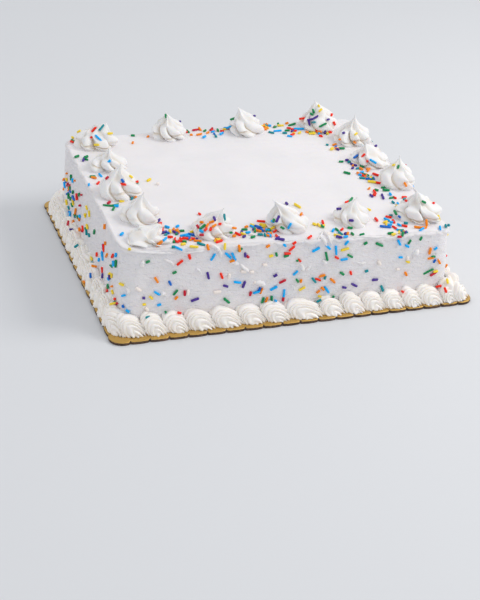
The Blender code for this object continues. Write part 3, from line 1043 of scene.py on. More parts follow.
def board_surface(board):
    """The board as rings from the middle of the top, over the rim and down the cut edge, to the middle of
    the underside. A ring at an inset is the outline drawn in towards the middle by that much, and the
    notches fade out within NOTCH_FADE of the edge. Also gives where foil covers the card. At the notches
    the rim is left without foil, so its dark card stands partly for bare card and partly for painted shadow."""
    plain, notched = board_outline(board, 0.0), board_outline(board, board.notch)
    half = np.array([board.width, board.depth]) / 2
    rings = []
    for inset, level in BOARD_RINGS:
        outline = plain + (notched - plain) * max(0.0, 1 - inset / NOTCH_FADE)
        ring = outline * (1 - inset * MM / half)
        rings.append(np.column_stack([ring, np.full(len(ring), board.thickness * level)]))
    on_top = np.arange(len(BOARD_RINGS)) < FOIL_RINGS
    cut = np.linalg.norm(notched - plain, axis=1) / board.notch
    near_edge = (np.array(BOARD_RINGS)[:, 0] < 1)[:, None]
    # Painted shadow, partly bare card: near the notches the rim's foil share falls, so it takes the dark
    # card colour.
    shown = on_top[:, None] * (1 - near_edge * ease(cut, *BARE_AND_SHADOWED_NOTCH))
    return closed_skin(np.array(rings)), with_poles(shown, first=1.0)


class CAKE_OT_board(bpy.types.Operator):
    """Cut the gold board with its scalloped edge"""
    bl_idname = "cake.board"
    bl_label = "Cut the Board"

    def execute(self, context):
        board = context.scene.sheet_cake.board
        (points, quads, caps), foil = board_surface(board)
        add_piece("scalloped_board", points, [quads, caps], gold_card_finish(board), "gold_board",
                  ["cake_board"], foil=foil)
        return {"FINISHED"}


# Pieces laid on the cream where the photograph shows them

SENSOR = 36.0
STEEPEST_VIEW = 0.15
CAMERA_PLACE = Vector((-0.4353, -1.1628, 0.6256))
CAMERA_YAW = math.radians(20.3307)
CAMERA_PITCH = math.radians(28.7951)
CAMERA_ROLL = math.radians(3.6107)


def camera_axes():
    """Right, up and forward of the camera from its yaw, pitch and roll."""
    forward = Vector((math.sin(CAMERA_YAW) * math.cos(CAMERA_PITCH),
                      math.cos(CAMERA_YAW) * math.cos(CAMERA_PITCH),
                      -math.sin(CAMERA_PITCH)))
    level = Vector((math.cos(CAMERA_YAW), -math.sin(CAMERA_YAW), 0.0))
    above = level.cross(forward)
    right = level * math.cos(CAMERA_ROLL) + above * math.sin(CAMERA_ROLL)
    up = above * math.cos(CAMERA_ROLL) - level * math.sin(CAMERA_ROLL)
    return right, up, forward


def sight_line(x, y):
    """Direction from the camera through a pixel of the photograph."""
    right, up, forward = camera_axes()
    reach = bpy.context.scene.sheet_cake.stage.lens / SENSOR * PHOTO_HEIGHT
    return (forward * reach + right * (x - PHOTO_WIDTH / 2) - up * (y - PHOTO_HEIGHT / 2)).normalized()


def cream_pieces():
    """The finished pieces that strands and smears can lie on."""
    endings = ("frosted_cake", "_shells", "_rosette", "scalloped_board")
    return [item for item in bpy.context.scene.collection.objects if item.name.endswith(endings)]


def touch(start, direction, pieces):
    """The nearest place where a line meets one of the pieces and the normal there, or None if it misses."""
    nearest = None
    for piece in pieces:
        hit, place, normal, _ = piece.ray_cast(start, direction)
        if hit and (nearest is None or (place - start).length < (nearest[0] - start).length):
            nearest = (place, normal)
    if nearest is None:
        return None
    place, normal = nearest
    return place, -normal if normal.dot(direction) > 0 else normal


def laid_on(place, normal, slope):
    """The direction in the surface at a place that a slanting line of sight would follow."""
    facing = slope.dot(normal)
    facing = math.copysign(max(abs(facing), STEEPEST_VIEW), facing or -1)
    reached = CAMERA_PLACE + slope * ((place - CAMERA_PLACE).dot(normal) / facing)
    heading = reached - place
    heading -= normal * heading.dot(normal)
    return heading.normalized()


# Sugar strands

STRAND_SIDES = 7
STRAND_STATIONS = np.array([-1.0, -0.93, -0.75, 0.0, 0.75, 0.93, 1.0])
STRAND_FULLNESS = np.array([0.5, 0.86, 1.0, 1.0, 1.0, 0.86, 0.5])
STRAND_GIRTHS = (0.88, 1.08)
STRAND_TILTS = (-0.1, 0.14)
STRAND_LIFT = 0.5 * MM
PALE_COAT = 1.3
PATCH_SPREAD = 0.6
SLANT_STEP = 1.5
STRAND_COLOURS = {
    "red": (1.0, 0.03, 0.005),
    "crimson": (0.62, 0.008, 0.035),
    "orange": (1.0, 0.28, 0.008),
    "yellow": (1.0, 0.74, 0.045),
    "green": (0.005, 0.28, 0.09),
    "teal": (0.0, 0.29, 0.34),
    "sky": (0.0, 0.46, 1.0),
    "blue": (0.0, 0.15, 0.62),
    "purple": (0.075, 0.032, 0.30),
    "pale": (0.97, 0.89, 0.83),
}

# How common each colour is in the loose scatter, in the order of STRAND_COLOURS.
COLOUR_SHARES = (0.16, 0.05, 0.17, 0.15, 0.16, 0.06, 0.14, 0.04, 0.06, 0.01)

# Strands that the photograph shows: its pixel across and down, slant in degrees anticlockwise on the page,
# length in mm and, for a curved one, how far its middle bows to the left of its slant in mm.
SEEN_STRANDS = {
    "red": (
        (221.4, 275.7, -70, 6), (189.3, 256.5, -75, 5), (291.3, 248.2, 37, 7), (293.9, 242.5, 40, 4),
        (287.2, 253, 0, 6), (299.1, 260, -40, 4), (162.5, 231, 90, 5), (170.2, 238, -10, 5),
        (177.2, 241.2, -60, 11, -2.5), (188.6, 239.6, -5, 12), (261, 222, -8, 8), (275.4, 231.7, 35, 7),
        (276.7, 237.1, -40, 5), (199.5, 215, -35, 3.5), (220.5, 224.4, 0, 2.5), (122.3, 183.8, -10, 9),
        (107, 289.7, 75, 5), (113.6, 255.9, 75, 6), (309.6, 237.9, 42, 8), (376.1, 220.6, -50, 7),
        (393.4, 222.4, -55, 6), (394.5, 228.2, -35, 7), (404.3, 226.7, -15, 6), (350.6, 272.7, -80, 4),
        (317.9, 279.2, -20, 6), (336.4, 257.2, -30, 4.5), (403.3, 292.1, -27, 7), (438.8, 286.1, 15, 5.5),
        (444.9, 289.7, -65, 6), (403.9, 198.2, 5, 5.5), (406.4, 201.6, -20, 3), (394.6, 198.4, -35, 5),
        (433, 203.6, 5, 3.5), (347, 202.7, 15, 5), (341.8, 230.3, 40, 4.5), (69.8, 139.1, 15, 9, 1.3),
        (94, 129.5, 50, 7), (91.8, 137.2, 30, 3.5), (98.2, 183.8, 37, 5), (136, 181.8, 20, 3),
        (288.9, 128.9, -15, 5), (302.5, 118.7, 5, 7), (330.8, 114.6, 75, 3.5), (333.7, 123.4, -65, 4.5),
        (315.6, 129.8, -80, 6), (329.9, 131.5, -10, 4.5), (366.9, 161.7, 28, 5), (375.8, 175.7, -20, 8.5),
        (378.1, 183.8, -5, 5), (178.7, 313.3, -15, 4),
    ),
    "crimson": (
        (184.6, 292.6, 90, 5.5), (250.1, 293.1, 75, 4.5), (282.8, 299, 80, 4), (247.6, 256.1, -35, 3),
        (432.8, 273.3, 30, 8), (202, 235.1, 0, 4), (197.8, 227.4, -55, 5), (107.4, 178.6, 45, 4),
        (68.5, 184.4, 80, 6), (211.4, 130.2, 40, 6), (195.4, 130.6, 10, 8), (227.7, 124.7, 65, 5.5),
        (274.1, 127.4, 55, 3.5), (399.1, 236.6, 0, 4), (117.5, 303.2, 0, 3),
    ),
    "orange": (
        (156.1, 279.5, -59, 6.6), (175.9, 297.6, 45, 4), (261, 290.7, 65, 6), (266.1, 299.5, 65, 6),
        (232, 260.4, 20, 5), (267.7, 245.9, 35, 4), (159.3, 242.5, 40, 8), (177.2, 232.6, -35, 6),
        (207.8, 247.6, -75, 6), (212, 222.5, 20, 5), (207.5, 226.2, 60, 5), (233.5, 228.1, -10, 5),
        (246.3, 227.6, 15, 3.5), (258.2, 231.7, -15, 6), (269, 236.8, -10, 6), (105.5, 226.6, 85, 5),
        (135, 196.6, 60, 4), (300.5, 280.4, 80, 3.5), (322.1, 275.2, 20, 6), (332.4, 280.2, -43, 7),
        (317.9, 291.3, 40, 4), (405.5, 273.6, -65, 4.5), (430.6, 257.9, 15, 6), (438.7, 261.2, -62, 6),
        (425.8, 223, -85, 7), (420.3, 228, 0, 13, -1.5), (300.9, 215.2, 60, 6), (405.4, 184.6, -62, 5),
        (369, 189.1, 50, 4), (132.7, 143.6, 60, 3.5), (148, 137.2, 30, 3), (191.2, 135.5, 0, 3),
        (199.2, 135.3, 10, 7), (207.8, 133.4, 25, 4), (286.6, 123.8, 20, 3.5), (266.8, 125.1, -45, 4),
        (334.4, 145.5, 15, 5.5), (340.4, 139.4, 0, 3), (355.1, 142.7, -30, 3.5), (360.9, 169.7, -25, 5),
        (367.8, 170.4, -40, 4.5), (365.6, 178.3, -25, 5), (319.7, 131.1, 0, 6), (307, 132.7, -30, 4),
        (76.4, 211.2, 85, 7), (75.3, 180.6, 80, 5), (67.5, 173.3, 0, 3),
    ),
    "yellow": (
        (150.6, 297.3, -40, 4.5), (144, 304, 0, 3), (122.3, 284, -20, 6), (270.9, 255.5, 20, 4),
        (169.9, 232.3, -75, 6), (192.5, 232.6, 20, 6), (182.9, 245, 15, 5), (193.8, 247, -5, 8),
        (264.5, 226.2, -10, 10), (272.2, 228.5, 30, 5), (297.3, 206.6, -27, 9), (121.7, 202, 10, 5),
        (110.2, 273.8, 40, 6), (301.8, 288.2, 28, 7), (319.5, 297, -10, 6), (407.6, 261.5, -20, 4),
        (434.8, 271.2, 10, 5), (344.9, 248.8, 18, 8), (387.6, 225.7, 20, 6), (398.8, 233.3, 60, 4),
        (318.7, 226.1, -45, 5.5), (368.8, 210.3, -15, 4), (447.9, 281.8, -80, 6), (374.8, 183, -10, 8),
        (110, 133.8, 0, 5.5), (97.2, 144.6, 0, 7), (148.9, 180.8, 30, 6), (130.6, 177, -40, 4),
        (218.4, 128, -30, 3.5), (311.4, 131.8, 0, 9), (320.4, 110.4, 40, 5), (318.7, 106.2, -60, 3),
        (327.1, 134.3, -30, 4), (355.7, 134.6, 40, 4.5), (371.4, 182.7, -8, 8), (394.3, 165.5, 10, 4),
        (428.1, 195.9, -68, 4), (293.8, 134, -30, 3.5), (129.6, 249.5, 0, 2.5),
    ),
    "green": (
        (175.3, 291.9, 52, 6.5), (174.4, 272.1, 25, 4), (226.5, 299.9, -41, 8), (262.4, 299.6, 70, 6),
        (271.3, 298, 90, 5), (166.3, 313, -52, 6.5), (147.4, 261.3, 25, 4), (239.9, 249.5, 38, 5),
        (276, 254, -75, 4), (286, 255.5, 20, 5), (297.7, 260, 20, 4), (181.6, 231.7, 5, 5),
        (202.7, 227.8, 43, 8), (230.7, 233.3, 10, 3), (253, 238, 15, 5), (269.6, 231, -70, 6),
        (110.8, 205.2, 0, 15, -3), (116.8, 263.5, 88, 8), (108.9, 286.5, -75, 7), (341.8, 273.3, -35, 5),
        (428.2, 271.2, 30, 11), (433, 256.4, 0, 4), (379.1, 244.2, -20, 8), (365.2, 243, 30, 4),
        (409.4, 241.5, 60, 5), (420.5, 238.4, 60, 4), (390.6, 234.2, 0, 6), (361.9, 235.4, 8, 5),
        (326.4, 256.1, -78, 9), (349.8, 255.8, -28, 6), (396.1, 213.3, -58, 7), (391.2, 198.5, 15, 5),
        (376.4, 190.9, -15, 4.5), (383.3, 188.2, 5, 5), (423.9, 202.2, -25, 4.5), (350.5, 200.9, 52, 12),
        (336.7, 230.3, -40, 5), (77, 157.6, 22, 5.5), (136.9, 183.5, 5, 3.5), (132.9, 136.3, -5, 4),
        (165.7, 115.9, -80, 4.5), (266.1, 121.9, 0, 5), (278.3, 124.4, 60, 3), (292, 125.3, 13, 9.5),
        (287.2, 131.2, 0, 5.5), (312.7, 111, -70, 5), (311.4, 114.2, -25, 4.5), (322.9, 125.1, 28, 9),
        (310.8, 133.6, -20, 5), (341.4, 149.3, 0, 7), (341, 162.4, 0, 5), (361.8, 167.2, -25, 5),
        (365, 175.5, -20, 10), (370.7, 179.3, -10, 6), (398.2, 166.9, 75, 4), (73.9, 192, 80, 5),
        (73, 204.8, -75, 5), (350, 228.8, -5, 5),
    ),
    "teal": (
        (200.8, 245, -15, 8), (223.7, 217.4, -85, 6.5), (260, 235.7, 0, 5), (313.6, 279.6, -52, 7),
        (324.8, 277, 75, 4), (319.5, 301, 30, 5), (381.8, 288.2, -68, 8), (366.1, 270.7, 20, 3.5),
        (405.5, 224.2, 0, 4), (390.6, 216.7, 0, 3.5), (131.9, 199.8, 60, 3), (101.7, 127.9, 52, 8),
        (284.6, 133.8, 0, 5), (314.4, 122.5, 5, 5), (327.1, 145.5, 0, 3), (370.9, 178, 70, 4),
        (215.8, 137.2, -50, 4), (114.7, 304, -68, 5.5), (173.3, 247.6, 0, 3), (147.4, 317.1, 15, 4),
    ),
    "sky": (
        (156.8, 292.9, -32, 6.5), (237.1, 281.7, -8, 7.5), (256.3, 291.6, 20, 7), (295.1, 272.4, 45, 6),
        (273.5, 287.8, 28, 7.5), (283.7, 292.9, 84, 8), (128.3, 310.7, -35, 4), (158.9, 304.4, 20, 4),
        (124.2, 295.2, 15, 5), (212.9, 256.5, 60, 8), (227.9, 255.3, -42, 8), (233.3, 256.1, -65, 9),
        (284, 245, -40, 4), (164.4, 240, 45, 6), (167, 228.2, -20, 5), (184.2, 236.1, 5, 8),
        (177.4, 227.2, 25, 4), (178.4, 248.6, -28, 8), (248, 233.6, 5, 5), (251.8, 227.4, -30, 5),
        (273.5, 221.5, -20, 5), (290, 225.3, 60, 8), (121.7, 235.2, 40, 5), (116.8, 255, 80, 4),
        (109.6, 278.9, -60, 5), (326.4, 289.5, -56, 8), (400.3, 257, 0, 4), (435.2, 248.2, 40, 4),
        (398.8, 242.2, -62, 7), (406.6, 245.5, -30, 5), (345.5, 237.3, 5, 4.5), (346.4, 242.2, 50, 5.5),
        (315.5, 249.3, 28, 8), (327.9, 246.7, -40, 7), (335.7, 249.9, -85, 9.5), (343.7, 259, 10, 7),
        (386.6, 220.6, -22, 7), (399.1, 225.8, -30, 5), (421.5, 230.1, 27, 7), (333, 231.2, 60, 5),
        (390.2, 195.2, -60, 5), (98.1, 138.7, -40, 9), (109.6, 161.4, 40, 4), (88.9, 185.4, 80, 4),
        (277.6, 131.5, 3, 9), (298.7, 129.8, 5, 12), (373, 161.4, -31, 8), (361.8, 172.9, 15, 4.5),
        (360.3, 175.8, -15, 4), (80.6, 216.3, -70, 4),
    ),
    "blue": (
        (169.9, 282.7, -63, 5), (258.8, 289.1, 60, 5), (191.8, 235.7, -10, 8), (258.2, 227.8, -25, 9),
        (385.2, 227.6, -4, 11), (434.2, 260.6, 55, 4), (399.7, 217, -40, 3), (123, 180.6, -50, 4),
        (214.3, 134.6, -50, 3), (74.2, 197.8, -70, 8), (70.8, 191.4, -50, 5), (69.8, 211.8, 0, 3),
        (262, 231.2, -40, 5), (123.9, 306, -60, 3),
    ),
    "purple": (
        (194.6, 299.3, 21, 8), (207.9, 275.4, -78, 7), (243.5, 284, 70, 7), (225.4, 285.6, -15, 5),
        (275.1, 275, 25, 4), (245, 254.6, 90, 4.5), (175.3, 233.6, -25, 7), (196.6, 240.6, 75, 4),
        (214.8, 219.5, -67, 7), (241.6, 233.3, 90, 4), (277.9, 219.5, 68, 7), (280.7, 240, -12, 7),
        (286.6, 204.6, -45, 4.5), (343.9, 287, -8, 4.5), (353.9, 284.5, -28, 7.5), (374.6, 279.4, 8, 6),
        (338.8, 237.6, -12, 6), (382.1, 195.8, -80, 5), (339.1, 209.5, 5, 5), (351.5, 220.6, -5, 4.5),
        (103.2, 275.7, 80, 6), (312.7, 118.1, 25, 13, -1.5), (328, 119.6, 20, 3.5), (308.9, 123.4, -75, 5),
        (324.8, 131.5, 60, 6), (337.6, 150.2, -28, 4.5), (353.5, 165.5, -20, 8), (352.6, 169.1, 20, 3),
        (343.6, 133.6, 20, 3), (375.8, 147, 25, 3), (143.4, 297.7, 0, 2.5),
    ),
    "pale": (
        (138.3, 289, -30, 6), (228.8, 275.9, 80, 5), (217, 291.4, 5, 7), (257, 284, -20, 8, 1.5),
        (187.5, 292.2, 80, 5), (264.5, 264.2, 0, 4), (378.8, 262.4, -65, 5), (146.2, 308.6, -40, 4),
        (243, 271, 0, 5), (251.8, 271.6, 0, 4), (397.3, 268.8, 0, 3), (157.8, 184.8, 0, 3),
        (407.3, 258.2, 90, 4),
    ),
}

# Loose strands between those: place on the cake and radius of a patch in mm, and how many fell there.
SCATTER_PATCHES = (
    (-113, -84, 9, 5), (-104, -100, 9, 6), (-95, -117, 10, 8), (-77, -117, 9, 6), (-71, -126, 9, 4),
    (-45, -112, 10, 6), (-28, -106, 10, 7), (-19, -113, 9, 6), (-8, -128, 9, 4), (21, -87, 8, 3),
    (35, -103, 9, 4), (42, -125, 9, 4), (63, -130, 9, 3), (100, -105, 9, 5), (101, -124, 9, 4),
    (113, -128, 8, 4), (-9, 128, 8, 4), (-28, 126, 9, 4), (14, 128, 9, 6), (52, 122, 9, 6), (65, 118, 9, 5),
    (84, 108, 9, 6), (109, 96, 8, 3), (113, 62, 8, 4), (116, 25, 9, 5), (120, 3, 9, 6), (119, -16, 9, 5),
    (118, -50, 9, 4), (126, -72, 8, 4), (-150, 122, 8, 4), (-152, 74, 9, 4), (-150, 30, 8, 3),
    (-146, -40, 8, 3), (-110, -60, 8, 3), (150, 52, 7, 4), (150, -5, 8, 5), (152, -62, 8, 4),
    (150, -120, 7, 4), (0, 118, 30, 3), (168, 70, 9, 3), (168, -10, 9, 3), (-167, 60, 10, 3),
    (-167, -40, 10, 3), (70, 142, 12, 3), (-60, 142, 12, 3),
)

# Loose strands on the walls: the facing of the wall in degrees, how far along it they lie as a share of its
# half length, lowest and highest height as a share of the wall, and how many.
WALL_SCATTER = (
    (0, (-0.98, 0.98), (0.25, 0.97), 5),
    (90, (-0.95, 0.95), (0.2, 0.97), 75),
    (180, (-0.95, 0.95), (0.2, 0.97), 85),
    (270, (-0.95, 0.95), (0.2, 0.75), 60),
)

# Where a loose strand starts from: so far out from a wall, or so high above the board.
OUTSIDE = 60 * MM
ABOVE = 200 * MM


def seen_strands(pieces):
    """The strands of the table, laid where their pixels meet the cream: (colour, place, normal, heading,
    length, bow) for each."""
    found = []
    for colour, rows in SEEN_STRANDS.items():
        for x, y, slant, length, *bow in rows:
            spot = touch(CAMERA_PLACE, sight_line(x, y), pieces)
            if spot is None:
                continue
            turn = math.radians(slant)
            onward = sight_line(x + SLANT_STEP * math.cos(turn), y - SLANT_STEP * math.sin(turn))
            heading = laid_on(*spot, onward)
            found.append((colour, *spot, heading, length * MM, bow[0] * MM if bow else 0.0))
    return found


def falling_lines(rng, settings):
    """The lines along which loose strands reach the cake: down onto the patches of the top, then in towards
    each wall."""
    body = settings.body
    lines = []
    for x, y, radius, count in SCATTER_PATCHES:
        spots = rng.normal(0, PATCH_SPREAD * radius, (count, 2)) + (x, y)
        starts = onto_board(np.column_stack([spots * MM, np.full(count, ABOVE)]))
        lines += [(Vector(start), Vector((0, 0, -1))) for start in starts]
    for facing, along, height, count in WALL_SCATTER:
        run, outward = wall_directions(facing)
        half, reach = body.length / 2, body.width / 2
        if facing % 180:
            half, reach = reach, half
        places = rng.uniform(*along, count)[:, None] * half * run + (reach + OUTSIDE) * outward
        levels = rng.uniform(*height, count) * TOP_CORNERS["back"][0]
        starts = onto_board(np.column_stack([places, levels]))
        inward = onto_board(np.array([*-outward, 0.0])) - onto_board(np.zeros(3))
        lines += [(Vector(start), Vector(inward)) for start in starts]
    return lines


def loose_strands(pieces, settings):
    """Strands scattered on patches of the top and along the walls, each with a colour, turn and length of
    its own."""
    look = settings.strands
    rng = np.random.default_rng(look.scatter)
    found = []
    colours = list(STRAND_COLOURS)
    for start, direction in falling_lines(rng, settings):
        colour = colours[rng.choice(len(colours), p=COLOUR_SHARES)]
        turn, length = rng.uniform(0, np.pi), rng.uniform(look.shortest, look.longest)
        spot = touch(start, direction, pieces)
        if spot is None:
            continue
        place, normal = spot
        level = normal.orthogonal().normalized()
        heading = level * math.cos(turn) + normal.cross(level) * math.sin(turn)
        found.append((colour, place, normal, heading, length, 0.0))
    return found


def strand_rods(strands, thickness, sink, rng):
    """Closed rods for strands of one colour, as one set of points and faces.

    Along a rod stations run from one end to the other, and the radius at each is a share of the full one
    that rounds the ends. The middle line follows the heading, tilted a little, and bows sideways by one
    less the square of the station. It lies above the cream by the radius less the part that is sunk.
    """
    places, normals, headings = (np.array([row[i] for row in strands]) for i in (1, 2, 3))
    lengths, bows = np.array([row[4] for row in strands]), np.array([row[5] for row in strands])
    radii = thickness / 2 * rng.uniform(*STRAND_GIRTHS, len(strands))
    headings = headings + normals * rng.uniform(*STRAND_TILTS, len(strands))[:, None]
    headings /= np.linalg.norm(headings, axis=1, keepdims=True)
    normals = normals - headings * np.sum(normals * headings, 1)[:, None]
    normals /= np.linalg.norm(normals, axis=1, keepdims=True)
    sideways = np.cross(normals, headings)
    lift = (radii - sink + rng.uniform(0, STRAND_LIFT, len(strands)))[:, None] * normals
    station = STRAND_STATIONS[None, :, None]
    middle = (places + lift)[:, None] + headings[:, None] * station * (lengths / 2)[:, None, None] \
        + sideways[:, None] * (1 - station ** 2) * bows[:, None, None]
    turn = np.linspace(0, 2 * np.pi, STRAND_SIDES, endpoint=False)[:, None]
    around = np.cos(turn) * sideways[:, None, None] + np.sin(turn) * normals[:, None, None]
    rods = middle[:, :, None] + around * (radii[:, None] * STRAND_FULLNESS)[:, :, None, None]
    _, quads, caps = closed_skin(rods[0])
    points = np.concatenate([rods.reshape(len(rods), -1, 3), rods[:, [0, -1]].mean(2)], 1)
    starts = (np.arange(len(rods)) * points.shape[1])[:, None, None]
    return points.reshape(-1, 3), (quads + starts).reshape(-1, 4), (caps + starts).reshape(-1, 3)


class CAKE_OT_strands(bpy.types.Operator):
    """Scatter the sugar strands over the cream"""
    bl_idname = "cake.strands"
    bl_label = "Scatter the Strands"

    def execute(self, context):
        settings = context.scene.sheet_cake
        look = settings.strands
        context.view_layer.update()
        pieces = cream_pieces()
        strands = seen_strands(pieces) + loose_strands(pieces, settings)
        rng = np.random.default_rng(look.scatter + 1)
        for colour, tint in STRAND_COLOURS.items():
            chosen = [row for row in strands if row[0] == colour]
            share, coat = (look.pale_sink, PALE_COAT) if colour == "pale" else (look.sink, 1.0)
            points, quads, caps = strand_rods(chosen, coat * look.thickness, share * look.thickness, rng)
            material = sugar_finish("sugar_" + colour, tint)
            add_piece("strands_" + colour, points, [quads, caps], material, "sprinkles")
        return {"FINISHED"}


# Smears of cream

SMEAR_STATIONS = 17
SMEAR_SIDES = 12
SMEAR_TIP = 0.02
SMEAR_FULLNESS = (1.5, 0.5)
SMEAR_WAVE = 4 * MM
SMEAR_RAGS = 0.35
SMEAR_SEED = 700
SMOOTHING = (0.25, 0.5, 0.25)
SMOOTHING_ROUNDS = 2

# Each smear: its width and height in mm, then the pixels of the photograph that it passes through.
SMEARS = (
    (2.4, 2.0, (209, 246), (215.5, 247), (219.5, 250.5), (220.5, 258)),
    (2.0, 1.5, (240, 264), (244, 268), (249, 271.5)),
    (2.2, 1.8, (143.6, 260), (142, 264), (142.6, 267.5)),
    (2.2, 1.6, (161, 297), (163, 293.5), (166, 296)),
    (2.4, 1.8, (126, 288.5), (128.6, 290.5), (128.4, 294.5)),
    (1.8, 1.8, (320, 236.5), (324, 233.5), (328, 237), (331.5, 245)),
    (1.8, 1.5, (317, 240), (321, 238), (325, 242), (326, 248)),
    (3.0, 2.2, (300.5, 264.5), (302, 267.5), (303.5, 270.5)),
    (2.0, 1.8, (309.5, 265.5), (308, 268), (305.5, 270)),
    (3.2, 1.6, (417.5, 249.5), (415.5, 253.5), (412.5, 258.5)),
    (2.6, 1.9, (323, 259), (324.5, 262), (326.5, 264.5)),
    (3.0, 2.3, (254, 283.2), (258, 282), (262, 283.4), (263.4, 287.5)),
    (1.7, 0.9, (129, 250.8), (150, 252.6), (176, 252.9)),
    (1.4, 0.9, (353, 238.4), (364, 236.6), (375, 237.4), (387, 235.4)),
    (1.4, 0.8, (182, 253), (194, 252), (206, 250.4)),
    (2.4, 1.1, (230, 262), (235, 262.8), (239, 264.6)),
    (1.6, 1.0, (163, 259), (170, 262), (174, 266)),
    (1.3, 0.9, (196, 268), (199, 270.5), (202, 275)),
    (1.5, 1.0, (290, 284), (293, 286.5), (295, 290)),
    (1.7, 1.0, (356, 262), (361, 263.2), (366, 262)),
)


def smear_path(pixels, pieces):
    """Places and normals along a smear: the curve of lowest degree through its pixels, met with the cream
    and smoothed."""
    pixels = np.array(pixels)
    share = np.linspace(-1, 1, len(pixels))
    stations = np.linspace(-1, 1, SMEAR_STATIONS)
    x, y = (np.polyval(np.polyfit(share, pixels[:, i], len(pixels) - 1), stations) for i in (0, 1))
    spots = [touch(CAMERA_PLACE, sight_line(*pixel), pieces) for pixel in zip(x, y)]
    spots = [spot for spot in spots if spot is not None]
    if len(spots) < SMEAR_STATIONS:
        raise RuntimeError("a smear runs off the cake")
    places, normals = (np.array([spot[i] for spot in spots]) for i in (0, 1))
    before, here, after = SMOOTHING
    for _ in range(SMOOTHING_ROUNDS):
        for values in (places, normals):
            values[1:-1] = before * values[:-2] + here * values[1:-1] + after * values[2:]
    return places, normals / np.linalg.norm(normals, axis=1, keepdims=True)


def smear_surface(width, height, places, normals, seed):
    """A raised mark half sunk in the wall: an oval ring at each station of its path, as wide and high as the
    smear at the middle, thinning to the ends by the root of one less the square of the station, and
    uneven."""
    heading = np.gradient(places, axis=0)
    heading /= np.linalg.norm(heading, axis=1, keepdims=True)
    sideways = np.cross(normals, heading)
    station = np.linspace(-1, 1, SMEAR_STATIONS)
    thick = SMEAR_FULLNESS[0] + SMEAR_FULLNESS[1] * ripple(places, SMEAR_WAVE, seed)
    full = (np.sqrt(np.maximum(1 - station ** 2, SMEAR_TIP)) * thick)[:, None, None]
    turn = np.linspace(0, 2 * np.pi, SMEAR_SIDES, endpoint=False)[None, :, None]
    across = np.cos(turn) * sideways[:, None] * width / 2
    out = full * (across + np.sin(turn) * normals[:, None] * height)
    spread = places[:, None] + 3 * out * MM
    ragged = SMEAR_RAGS * np.stack([ripple(spread, SMEAR_WAVE, seed + k) for k in (1, 2, 3)], -1)
    return places[:, None] + (out + ragged) * MM


class CAKE_OT_smears(bpy.types.Operator):
    """Leave the small smears and ragged marks of cream on the walls"""
    bl_idname = "cake.smears"
    bl_label = "Smear the Cream"

    def execute(self, context):
        look = context.scene.sheet_cake.smears
        context.view_layer.update()
        pieces = cream_pieces()
        skins = []
        for seed, (width, height, *pixels) in enumerate(SMEARS, start=SMEAR_SEED):
            places, normals = smear_path(pixels, pieces)
            skins.append(closed_skin(smear_surface(width, height, places, normals, seed)))
        points, quads, caps = join_skins(skins)
        material = piped_finish("smeared_frosting", look.colour, look.shade, FROSTING_SUBSURFACE)
        add_piece("cream_smears", points, [quads, caps], material, "white_frosting",
                  groove=np.zeros(len(points)))
        return {"FINISHED"}


# Floor, light and camera

FLOOR_SIZE = 60.0
KEY_PLACE = Vector((1.15, -0.35, 1.15))
KEY_SIZE = 0.7
KEY_COLOUR = (1.0, 0.975, 0.95)
SKY_COLOUR = (0.97, 0.98, 1.0, 1.0)
CAKE_MIDDLE = Vector((0.0, 0.0, 0.05))
FARTHEST_SEEN = 100.0


def set_floor(look):
    """A plain pale floor that reaches past the horizon."""
    half = FLOOR_SIZE / 2
    corners = [(-half, -half, 0), (half, -half, 0), (half, half, 0), (-half, half, 0)]
    mesh = bpy.data.meshes.new("floor")
    mesh.from_pydata(corners, [], [(0, 1, 2, 3)])
    material, _, shader, _ = new_finish("pale_floor")
    shader.inputs["Base Color"].default_value = look.floor
    shader.inputs["Roughness"].default_value = 0.9
    mesh.materials.append(material)
    floor = bpy.data.objects.new("floor", mesh)
    bpy.context.scene.collection.objects.link(floor)


def set_light(look):
    """Soft light from all round, and a broad key light from the right, high up and a little in front."""
    world = bpy.data.worlds.new("soft_light")
    world.use_nodes = True
    background = world.node_tree.nodes["Background"]
    background.inputs["Color"].default_value = SKY_COLOUR
    background.inputs["Strength"].default_value = look.sky
    bpy.context.scene.world = world
    key = bpy.data.lights.new("key_light", "AREA")
    key.size = KEY_SIZE
    key.energy = look.key
    key.color = KEY_COLOUR
    lamp = bpy.data.objects.new("key_light", key)
    lamp.location = KEY_PLACE
    lamp.rotation_euler = (CAKE_MIDDLE - KEY_PLACE).to_track_quat("-Z", "Y").to_euler()
    bpy.context.scene.collection.objects.link(lamp)


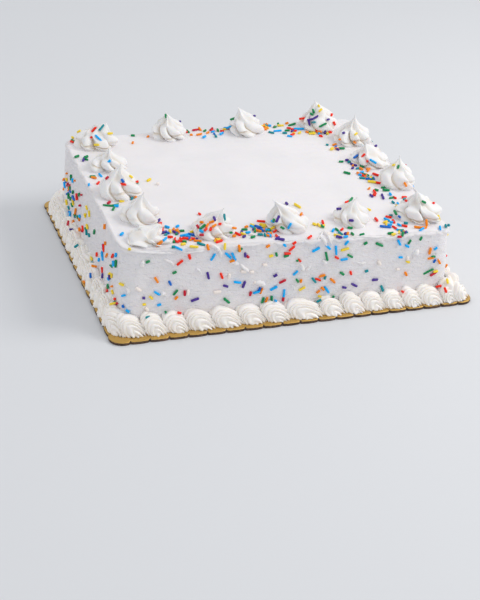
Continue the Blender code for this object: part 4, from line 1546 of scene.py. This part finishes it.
def set_camera(look):
    """The camera at the photo's place and angle."""
    right, up, forward = camera_axes()
    data = bpy.data.cameras.new("camera")
    data.lens = look.lens
    data.sensor_width = SENSOR
    data.clip_end = FARTHEST_SEEN
    camera = bpy.data.objects.new("camera", data)
    axes = Matrix((right, up, -forward)).transposed().to_4x4()
    camera.matrix_world = Matrix.Translation(CAMERA_PLACE) @ axes
    bpy.context.scene.collection.objects.link(camera)
    bpy.context.scene.camera = camera


class CAKE_OT_stage(bpy.types.Operator):
    """Set the pale floor, the soft light and the camera"""
    bl_idname = "cake.stage"
    bl_label = "Set the Stage"

    def execute(self, context):
        look = context.scene.sheet_cake.stage
        set_floor(look)
        set_light(look)
        set_camera(look)
        context.scene.view_settings.view_transform = "Standard"
        return {"FINISHED"}


# The panel

PANEL_ROWS = (
    ("stage", "cake.stage"),
    ("board", "cake.board"),
    ("body", "cake.frost"),
    ("shells", "cake.shells"),
    ("rosettes", "cake.rosettes"),
    ("smears", "cake.smears"),
    ("strands", "cake.strands"),
)


class CAKE_PT_panel(bpy.types.Panel):
    """Lists the cake's pieces with their sizes and colours"""
    bl_label = "Frosted Sheet Cake"
    bl_idname = "CAKE_PT_panel"
    bl_space_type = "VIEW_3D"
    bl_region_type = "UI"
    bl_category = "Cake"

    def draw(self, context):
        settings = context.scene.sheet_cake
        for group, operator in PANEL_ROWS:
            box = self.layout.box()
            box.operator(operator)
            values = getattr(settings, group)
            for key in values.__annotations__:
                box.prop(values, key)


CLASSES = (
    CakeBodySettings, RosetteSettings, ShellSettings, StrandSettings, SmearSettings, BoardSettings,
    StageSettings, SheetCakeSettings, CAKE_OT_stage, CAKE_OT_board, CAKE_OT_frost, CAKE_OT_shells,
    CAKE_OT_rosettes, CAKE_OT_smears, CAKE_OT_strands, CAKE_PT_panel,
)


def register():
    """Make the settings, operators and panel known, and hang the settings on the scene."""
    for item in CLASSES:
        bpy.utils.register_class(item)
    bpy.types.Scene.sheet_cake = PointerProperty(type=SheetCakeSettings)


def unregister():
    """Take away what register added."""
    del bpy.types.Scene.sheet_cake
    for item in reversed(CLASSES):
        bpy.utils.unregister_class(item)


def main():
    """Make the stage and every piece."""
    register()
    bpy.ops.cake.stage()
    bpy.ops.cake.board()
    bpy.ops.cake.frost()
    bpy.ops.cake.shells()
    bpy.ops.cake.rosettes()
    bpy.ops.cake.smears()
    bpy.ops.cake.strands()


if __name__ == "__main__":
    main()
